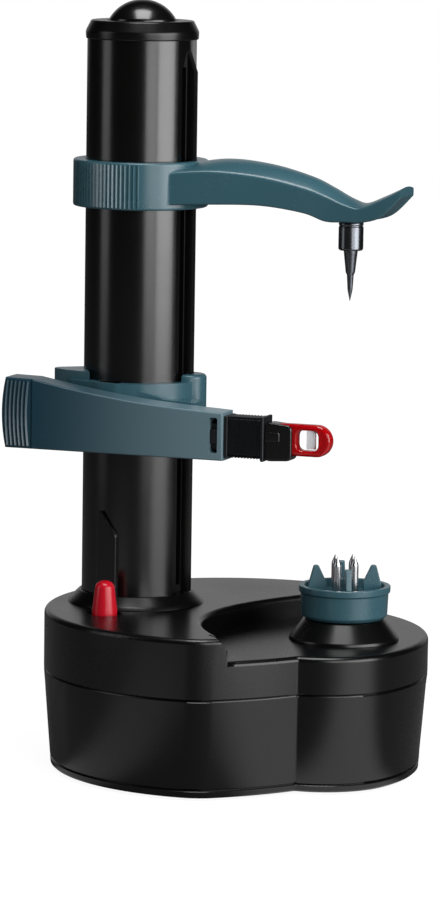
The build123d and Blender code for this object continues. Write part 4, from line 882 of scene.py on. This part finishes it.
leverBar = prism("peelingLever", leverOutline(), lever["front"], lever["back"], lever["rim"], 4, "Y")
hollows = (
    barOutline(lever["padRight"], lever["hollowRight"], lever["wall"]),
    rectangle(
        lever["left"] + lever["barrel"] + lever["wall"], lever["bottom"] + lever["wall"],
        lever["padRight"] - lever["wall"], lever["bottom"] + lever["padHeight"] - lever["wall"],
    ),
)
leverCuts = [
    prism("hollow", hollow, lever["front"] + lever["wall"], lever["back"] + past, lever["hollowRim"], 2, "Y")
    for hollow in hollows
]
leverCuts += [
    boxPiece("leverCut", low, high, rim, steps, base=lever["bottom"])
    for low, high, rim, steps in lever["cuts"]
]
for cut in leverCuts:
    combine(leverBar, cut, "DIFFERENCE")
inner, outer = lever["boss"]
for low, high in lever["bossLevels"]:
    bossProfile = rectangle(
        inner, lever["bottom"] + low, outer, lever["bottom"] + high, lever["bossEdge"], 2
    )
    combine(leverBar, turned("hingeBoss", bossProfile, lever["hinge"], 48, True), "UNION")
padRibs = growRibs("padRibs", ribRow, "leverPaintedLightBlue", lever["ribAngle"], {
    "Count": lever["ribCount"],
    "Start": (
        lever["ribStart"] * mm, (lever["front"] - lever["ribSunk"]) * mm,
        (lever["bottom"] + lever["ribMiddle"]) * mm,
    ),
    "Step": (lever["ribPitch"] * mm, 0, 0),
    "Rib Depth": lever["ribDepth"] * mm,
    "Rib Width": lever["ribWidth"] * mm,
    "Rib Height": lever["ribHeight"] * mm,
    "Bend": lever["ribBend"] * mm,
    "Sides": 4,
})
joinPieces(smoothFaces(leverBar), [padRibs])
place(leverBar, "lever", "leverPaintedLightBlue", "teal_plastic", "peeling_lever")
print("lever dressed")


# blade cartridge

grip = {
    "start": 47.9, "end": 63.6, "front": -36.4, "back": -26.8, "bottom": deckTop + 62.4, "height": 15.6,
    "middle": -31.6, "sunk": 0.8, "edge": 0.7,
    "ribCount": 11, "ribStart": 50.0, "ribPitch": 1.209, "ribThick": 0.36, "ribWidth": 4.75,
    "ribHeight": 15.3, "ribAngle": 40,
    # start, thickness and overhang of the plate at each end
    "plates": ((47.9, 1.5, 0.0), (62.3, 1.3, 0.35)), "plateEdge": 0.42,
    # the tongue and its catch: two opposite corners, with heights over the grip's bottom
    "tongues": (((34.5, -35.0, 2.8), (48.2, -28.2, 12.6)), ((42.8, -36.9, 5.1), (45.6, -31.6, 10.3))),
    "tongueEdge": 0.3,
}
gripCore = boxPiece(
    "bladeGrip", (grip["start"], grip["front"] + grip["sunk"], grip["bottom"] + grip["sunk"]),
    (grip["end"], grip["back"] - grip["sunk"], grip["bottom"] + grip["height"] - grip["sunk"]),
    grip["edge"], 3, "X",
)
gripParts = []
for at, thick, spread in grip["plates"]:
    gripParts.append(boxPiece(
        "plate", (at, grip["front"] - spread, grip["bottom"] - 2 * spread),
        (at + thick, grip["back"] + spread, grip["bottom"] + grip["height"] + spread),
        grip["plateEdge"], 3, "X",
    ))
for low, high in grip["tongues"]:
    gripParts.append(boxPiece("tongue", low, high, grip["tongueEdge"], 2, "X", grip["bottom"]))
for part in gripParts:
    combine(gripCore, part, "UNION")
gripRibs = growRibs("gripRibs", ribRow, "gripBlack", grip["ribAngle"], {
    "Count": grip["ribCount"],
    "Start": (grip["ribStart"] * mm, grip["middle"] * mm, (grip["bottom"] + grip["height"] / 2) * mm),
    "Step": (grip["ribPitch"] * mm, 0, 0),
    "Rib Depth": grip["ribThick"] * mm,
    "Rib Width": grip["ribWidth"] * mm,
    "Rib Height": grip["ribHeight"] * mm,
})
joinPieces(smoothFaces(gripCore), [gripRibs])
place(gripCore, "lever", "gripBlack", "grip_black", "blade_grip")

guard = {
    "left": 69.0, "end": 88.8, "bottom": deckTop + 64.2, "height": 11.9, "thick": 5.0, "rim": 1.5,
    "slot": (75.6, 2.25, 83.8, 9.65), "slotRadius": 2.5, "slotFlare": 0.9, "slack": 0.02,
}
head = {
    # side view, then two opposite corners of the fork's gap and of the catch, over the grip's bottom
    "outline": ((63.6, -0.6), (74.0, 0.0), (74.0, 13.1), (63.6, 14.0)), "edge": 2.0, "rim": 0.7,
    "front": -35.2, "back": -28.0, "fork": ((68.95, -34.15, 1.75), (88.8, -29.05, 13.75)),
    "catch": ((63.7, -36.0, 6.8), (69.6, -34.8, 10.4)), "catchEdge": 0.45,
}
headOutline = roundCorners(lifted(head["outline"], grip["bottom"]), head["edge"], 5)
headBody = prism("bladeHolder", headOutline, head["front"], head["back"], head["rim"], 4, "Y")
combine(headBody, boxPiece("fork", *head["fork"], base=grip["bottom"]), "DIFFERENCE")
catch = boxPiece("catch", *head["catch"], head["catchEdge"], 3, base=grip["bottom"])
combine(headBody, catch, "UNION")
place(smoothFaces(headBody), "lever", "glossBlack", "gloss_black", "blade_holder")


def guardOutline(steps=32):
    # a straight start and a half-round end
    radius = guard["height"] / 2
    middle = guard["bottom"] + radius
    centre = guard["end"] - radius
    outline = [(guard["left"], middle - radius)]
    for step in range(steps + 1):
        angle = math.pi * (step / steps - 0.5)
        outline.append((centre + radius * math.cos(angle), middle + radius * math.sin(angle)))
    return outline + [(guard["left"], middle + radius)]


half = guard["thick"] / 2
guardLoop = prism(
    "bladeGuard", guardOutline(), grip["middle"] - half, grip["middle"] + half, guard["rim"], 6, "Y"
)
x0, z0, x1, z1 = guard["slot"]
slotOutline = rectangle(x0, guard["bottom"] + z0, x1, guard["bottom"] + z1, guard["slotRadius"], 8)
slotRings = []
for step in range(13):
    # the slot flares to both faces
    share = step / 6 - 1
    grow = guard["slotFlare"] * (1 - math.sqrt(max(0.0, 1 - share ** 4)))
    level = grip["middle"] + share * (half + guard["slack"])
    slotRings.append([(x, level, z) for x, z in insetLoop(slotOutline, -grow)])
combine(guardLoop, makePiece("slotCut", *stackRings(slotRings)), "DIFFERENCE")
place(smoothFaces(guardLoop, 40), "lever", "redClear", "red_clear", "blade_guard")
place(skinOf("peeler_blade", 30), "lever", "groundSteel", "blade_steel", "peeler_blade")
print("cartridge dressed")


# food holder

cup = {
    "section": ((3.02, -0.4), (14.9, -0.4), (16.2, 0.9), (16.55, 9.25), (17.2, 9.6), (17.3, 12.0),
                (15.1, 12.0), (14.3, 8.5), (3.02, 8.5)),
    "edge": 0.42,
    "fin": ((6.9, 8.0), (14.25, 8.0), (13.8, 12.0), (11.8, 19.5), (10.0, 19.5), (6.9, 13.0)),
    "finCount": 4, "finStart": 25.0, "finThick": 2.2, "finEdge": 0.6, "finRim": 0.35,
}
cupBody = turned("foodCup", section(cup["section"], cup["edge"], 3), holderAxis, 160, True)
finOutline = section(cup["fin"], cup["finEdge"], 3)
for index in range(cup["finCount"]):
    fin = prism("fin", finOutline, -cup["finThick"] / 2, cup["finThick"] / 2, cup["finRim"], 3, "Y")
    turnAbout(fin, holderAxis, cup["finStart"] + 360 / cup["finCount"] * index)
    combine(cupBody, fin, "UNION")
place(smoothFaces(cupBody), "holder", "slateBlue", "teal_plastic", "food_holder_cup")

foodPins = {
    "section": ((0.0, 4.6), (1.5, 4.6), (1.5, 19.8), (1.29, 20.5), (0.25, 22.9), (0.0, 23.0)),
    "edge": 0.5, "circle": 4.6, "count": 4, "start": 70.0,
}
pins = []
for index in range(foodPins["count"]):
    angle = math.radians(foodPins["start"] + 360 / foodPins["count"] * index)
    spot = (
        holderAxis[0] + foodPins["circle"] * math.cos(angle), foodPins["circle"] * math.sin(angle)
    )
    pins.append(turned("holderPins", solidSection(foodPins["section"], foodPins["edge"], 4), spot, 48))
joinPieces(pins[0], pins[1:])
place(smoothFaces(pins[0], 30), "holder", "brightSteel", "bright_pin", "holder_pins")

pedestal = {
    "section": ((3.05, -11.0), (4.5, -11.0), (4.5, -8.5), (20.8, -8.5), (20.5, -7.4), (15.2, -0.7),
                (3.05, -0.7)),
    "edge": 0.3,
}
pedestalProfile = section(pedestal["section"], pedestal["edge"], 3)
pedestalCone = turned("holderPedestal", pedestalProfile, holderAxis, 160, True)
place(smoothFaces(pedestalCone), "base", "satinBlack", "gloss_black", "holder_pedestal")
print("food holder dressed")


# start button

button = {
    "centre": (0.0, -32.4),
    "shank": ((0.0, -10.4), (1.4, -10.4), (1.4, -8.2), (6.2, -8.2), (6.2, -6.7), (4.75, -6.7), (4.75, 1.5)),
    "edge": 0.25, "tip": 3.75, "top": deckTop + 12.6, "dome": 3.1, "domeAngle": 84,
}
shank = lifted(button["shank"])
buttonProfile = [shank[0]] + roundCorners(shank[1:], button["edge"], 3, False)
for step in range(13):
    # domed crown
    angle = math.radians(button["domeAngle"]) * step / 12
    buttonProfile.append((
        button["tip"] * math.cos(angle), button["top"] + button["dome"] * (math.sin(angle) - 1)
    ))
buttonProfile.append((0.0, button["top"]))
startButton = turned("startButton", buttonProfile, button["centre"], 96)
place(smoothFaces(startButton, 32), "button", "buttonRed", "button_red", "start_button")
print("button dressed")


# everything that stays as its CAD solid

nodeFinishes = {
    "satinBlack": ("battery_door", "battery_box", "start_switch"),
    "glossBlack": ("adapter_inlet",),
    "rubber": ("rubber_feet", "arm_friction_pad"),
    "cellWrap": ("battery_cells",),
    "springSteel": ("battery_contact_springs", "lever_spring"),
    "zincSteel": ("battery_contact_plates", "gear_axles", "motor", "leadscrew", "holder_shaft",
                  "lever_hinge_pin", "housing_screws", "gearbox_screws"),
    "nylon": ("gearbox_lower_plate", "gearbox_upper_plate", "idler_gear", "second_reduction_gear",
              "first_reduction_gear", "leadscrew_gear", "holder_gear", "leadscrew_top_bush"),
    "brass": ("shaft_bushes", "motor_pinion", "half_nut"),
}
for finish, names in nodeFinishes.items():
    for name in names:
        nodes[name].data.materials.clear()
        nodes[name].data.materials.append(finishes[finish])

# coil springs: body, joint, axis, fixed end and travel; they are dressed as they stand and do not shorten
# here
coils = {
    "button_spring": ("base", "start_button_press", 2, 0, 3.0),
    "half_nut_spring": ("carriage", "half_nut_release", 0, 1, 1.3),
}
for name, (body, joint, axis, fixedEnd, travel) in coils.items():
    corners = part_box(name)
    middle = (Vector(corners[0]) + Vector(corners[1])) / 2
    middle[axis] = corners[fixedEnd][axis]
    coil = bakeModifiers(skinOf(name, 40))
    place(coil, body, "springSteel", "spring_steel", name)
    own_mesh(coil)
print("inner parts painted")


# stage, light and camera

stageLook = {
    "floor": (0.14, 0.14, 0.14), "rough": 0.8, "size": 8.0, "white": 1.0, "ambient": 0.08, "room": 0.01,
    # what glossy pieces mirror: a direction, the cosines where the share starts and is whole, its level
    "sky": {"towards": (-0.344, 0.939, 0.0), "from": 0.74, "to": 1.0, "level": 0.5},
    "bright": {"towards": (0.924, -0.383, 0.0), "from": 0.92, "to": 0.99, "level": 1.0},
    "band": {"towards": (-0.242, -0.970, 0.0), "from": 0.91, "to": 0.995, "level": 0.38},
    # how far from the object, in metres, the band ends and the floor turns fully white
    "bandReach": {"near": 0.3, "far": 0.62, "nearLevel": 1.0, "farLevel": 0.0},
    "glow": {"near": 0.16, "far": 0.7, "nearLevel": 0.94, "farLevel": 1.0},
}


def whiteShare(tree, vector, part):
    # the surroundings' level in one direction, falling to a dim room elsewhere
    flat = addNode(tree, "ShaderNodeVectorMath", {0: vector}, operation="NORMALIZE")
    along = addNode(tree, "ShaderNodeVectorMath", {
        0: flat.outputs["Vector"], 1: part["towards"],
    }, operation="DOT_PRODUCT")
    return addNode(tree, "ShaderNodeMapRange", {
        "Value": along.outputs["Value"], "From Min": part["from"], "From Max": part["to"],
        "To Min": stageLook["room"], "To Max": part["level"],
    }, interpolation_type="SMOOTHSTEP").outputs["Result"]


def lightLevel(tree, share, ambient):
    # white for the camera, the given share for reflections, a plain level for soft light
    rays = addNode(tree, "ShaderNodeLightPath").outputs
    mirrored = compute(tree, "MAXIMUM", rays["Is Glossy Ray"], rays["Is Transmission Ray"])
    reflected = addNode(tree, "ShaderNodeMix", {
        "Factor": mirrored, "A": ambient, "B": share,
    }, data_type="FLOAT")
    return addNode(tree, "ShaderNodeMix", {
        "Factor": rays["Is Camera Ray"], "A": reflected.outputs["Result"], "B": stageLook["white"],
    }, data_type="FLOAT").outputs["Result"]


def whiteBackground():
    world = bpy.data.worlds.new("studio")
    bpy.context.scene.world = world
    world.use_nodes = True
    tree = world.node_tree
    tree.nodes.clear()
    direction = addNode(tree, "ShaderNodeTexCoord").outputs["Generated"]
    share = whiteShare(tree, direction, stageLook["sky"])
    sky = addNode(tree, "ShaderNodeBackground", {
        "Color": (1, 1, 1, 1), "Strength": lightLevel(tree, share, stageLook["ambient"]),
    })
    addNode(tree, "ShaderNodeOutputWorld", {"Surface": sky.outputs["Background"]})


def fadeOut(tree, distance, part):
    # a share that changes with the distance from the object
    return addNode(tree, "ShaderNodeMapRange", {
        "Value": distance, "From Min": part["near"], "From Max": part["far"],
        "To Min": part["nearLevel"], "To Max": part["farLevel"],
    }).outputs["Result"]


def paleFloor():
    # white table that still takes the object's shadow
    half = stageLook["size"] / 2
    mesh = bpy.data.meshes.new("floor")
    corners = [(-half, -half, 0), (half, -half, 0), (half, half, 0), (-half, half, 0)]
    mesh.from_pydata(corners, [], [(0, 1, 2, 3)])
    floor = addObject("floor", mesh)
    material = bpy.data.materials.new("paleFloor")
    material.use_nodes = True
    tree = material.node_tree
    tree.nodes.clear()
    spot = addNode(tree, "ShaderNodeTexCoord").outputs["Object"]
    distance = addNode(tree, "ShaderNodeVectorMath", {0: spot}, operation="LENGTH")
    distance = distance.outputs["Value"]
    share = whiteShare(tree, spot, stageLook["bright"])
    band = compute(
        tree, "MULTIPLY", whiteShare(tree, spot, stageLook["band"]),
        fadeOut(tree, distance, stageLook["bandReach"]),
    )
    level = lightLevel(tree, compute(tree, "MAXIMUM", share, band), 0.0)
    whole = fadeOut(tree, distance, stageLook["glow"])
    shader = addNode(tree, "ShaderNodeBsdfPrincipled", {
        "Base Color": (*stageLook["floor"], 1), "Roughness": stageLook["rough"], "Specular IOR Level": 0.0,
        "Emission Color": (1, 1, 1, 1), "Emission Strength": compute(tree, "MULTIPLY", level, whole),
    })
    addNode(tree, "ShaderNodeOutputMaterial", {"Surface": shader.outputs["BSDF"]})
    mesh.materials.append(material)


lamps = {
    "rightSoftbox": {"at": (1.24, -0.35, 0.45), "aim": (0.03, 0, 0.13), "size": (0.95, 0.9), "watts": 13},
    "rightWash": {"at": (0.84, -0.97, 0.45), "aim": (0.03, 0, 0.13), "size": (0.5, 0.9), "watts": 4.2},
    "leftFill": {"at": (-1.04, -0.66, 0.45), "aim": (0.03, 0, 0.13), "size": (0.45, 0.9), "watts": 1.3},
    "topSoftbox": {"at": (0.1, -0.2, 1.2), "aim": (0.03, 0, 0.1), "size": (0.6, 0.6), "watts": 8},
}


def addLamp(name, lamp):
    light = bpy.data.lights.new(name, "AREA")
    light.shape = "RECTANGLE"
    light.size, light.size_y = lamp["size"]
    light.energy = lamp["watts"]
    holder = bpy.data.objects.new(name, light)
    aim = Vector(lamp["aim"]) - Vector(lamp["at"])
    holder.location = lamp["at"]
    holder.rotation_euler = aim.to_track_quat("-Z", "Y").to_euler()
    bpy.context.scene.collection.objects.link(holder)


cameraSetup = {
    "at": (0.6407, -1.6685, 0.3624), "aim": (0.0295, 0.0107, 0.1192), "lens": 189.7, "roll": 0.0145,
    "sensor": 36.0, "farthest": 20.0,
}


def addCamera():
    view = bpy.data.cameras.new("camera")
    view.lens = cameraSetup["lens"]
    view.sensor_width = cameraSetup["sensor"]
    view.clip_end = cameraSetup["farthest"]
    holder = bpy.data.objects.new("camera", view)
    at = Vector(cameraSetup["at"])
    aim = (Vector(cameraSetup["aim"]) - at).to_track_quat("-Z", "Y").to_matrix().to_4x4()
    holder.matrix_world = Matrix.Translation(at) @ aim @ Matrix.Rotation(cameraSetup["roll"], 4, "Z")
    bpy.context.scene.collection.objects.link(holder)
    bpy.context.scene.camera = holder


whiteBackground()
paleFloor()
for name, lamp in lamps.items():
    addLamp(name, lamp)
addCamera()
bpy.context.scene.view_settings.view_transform = "Standard"
print("stage set")
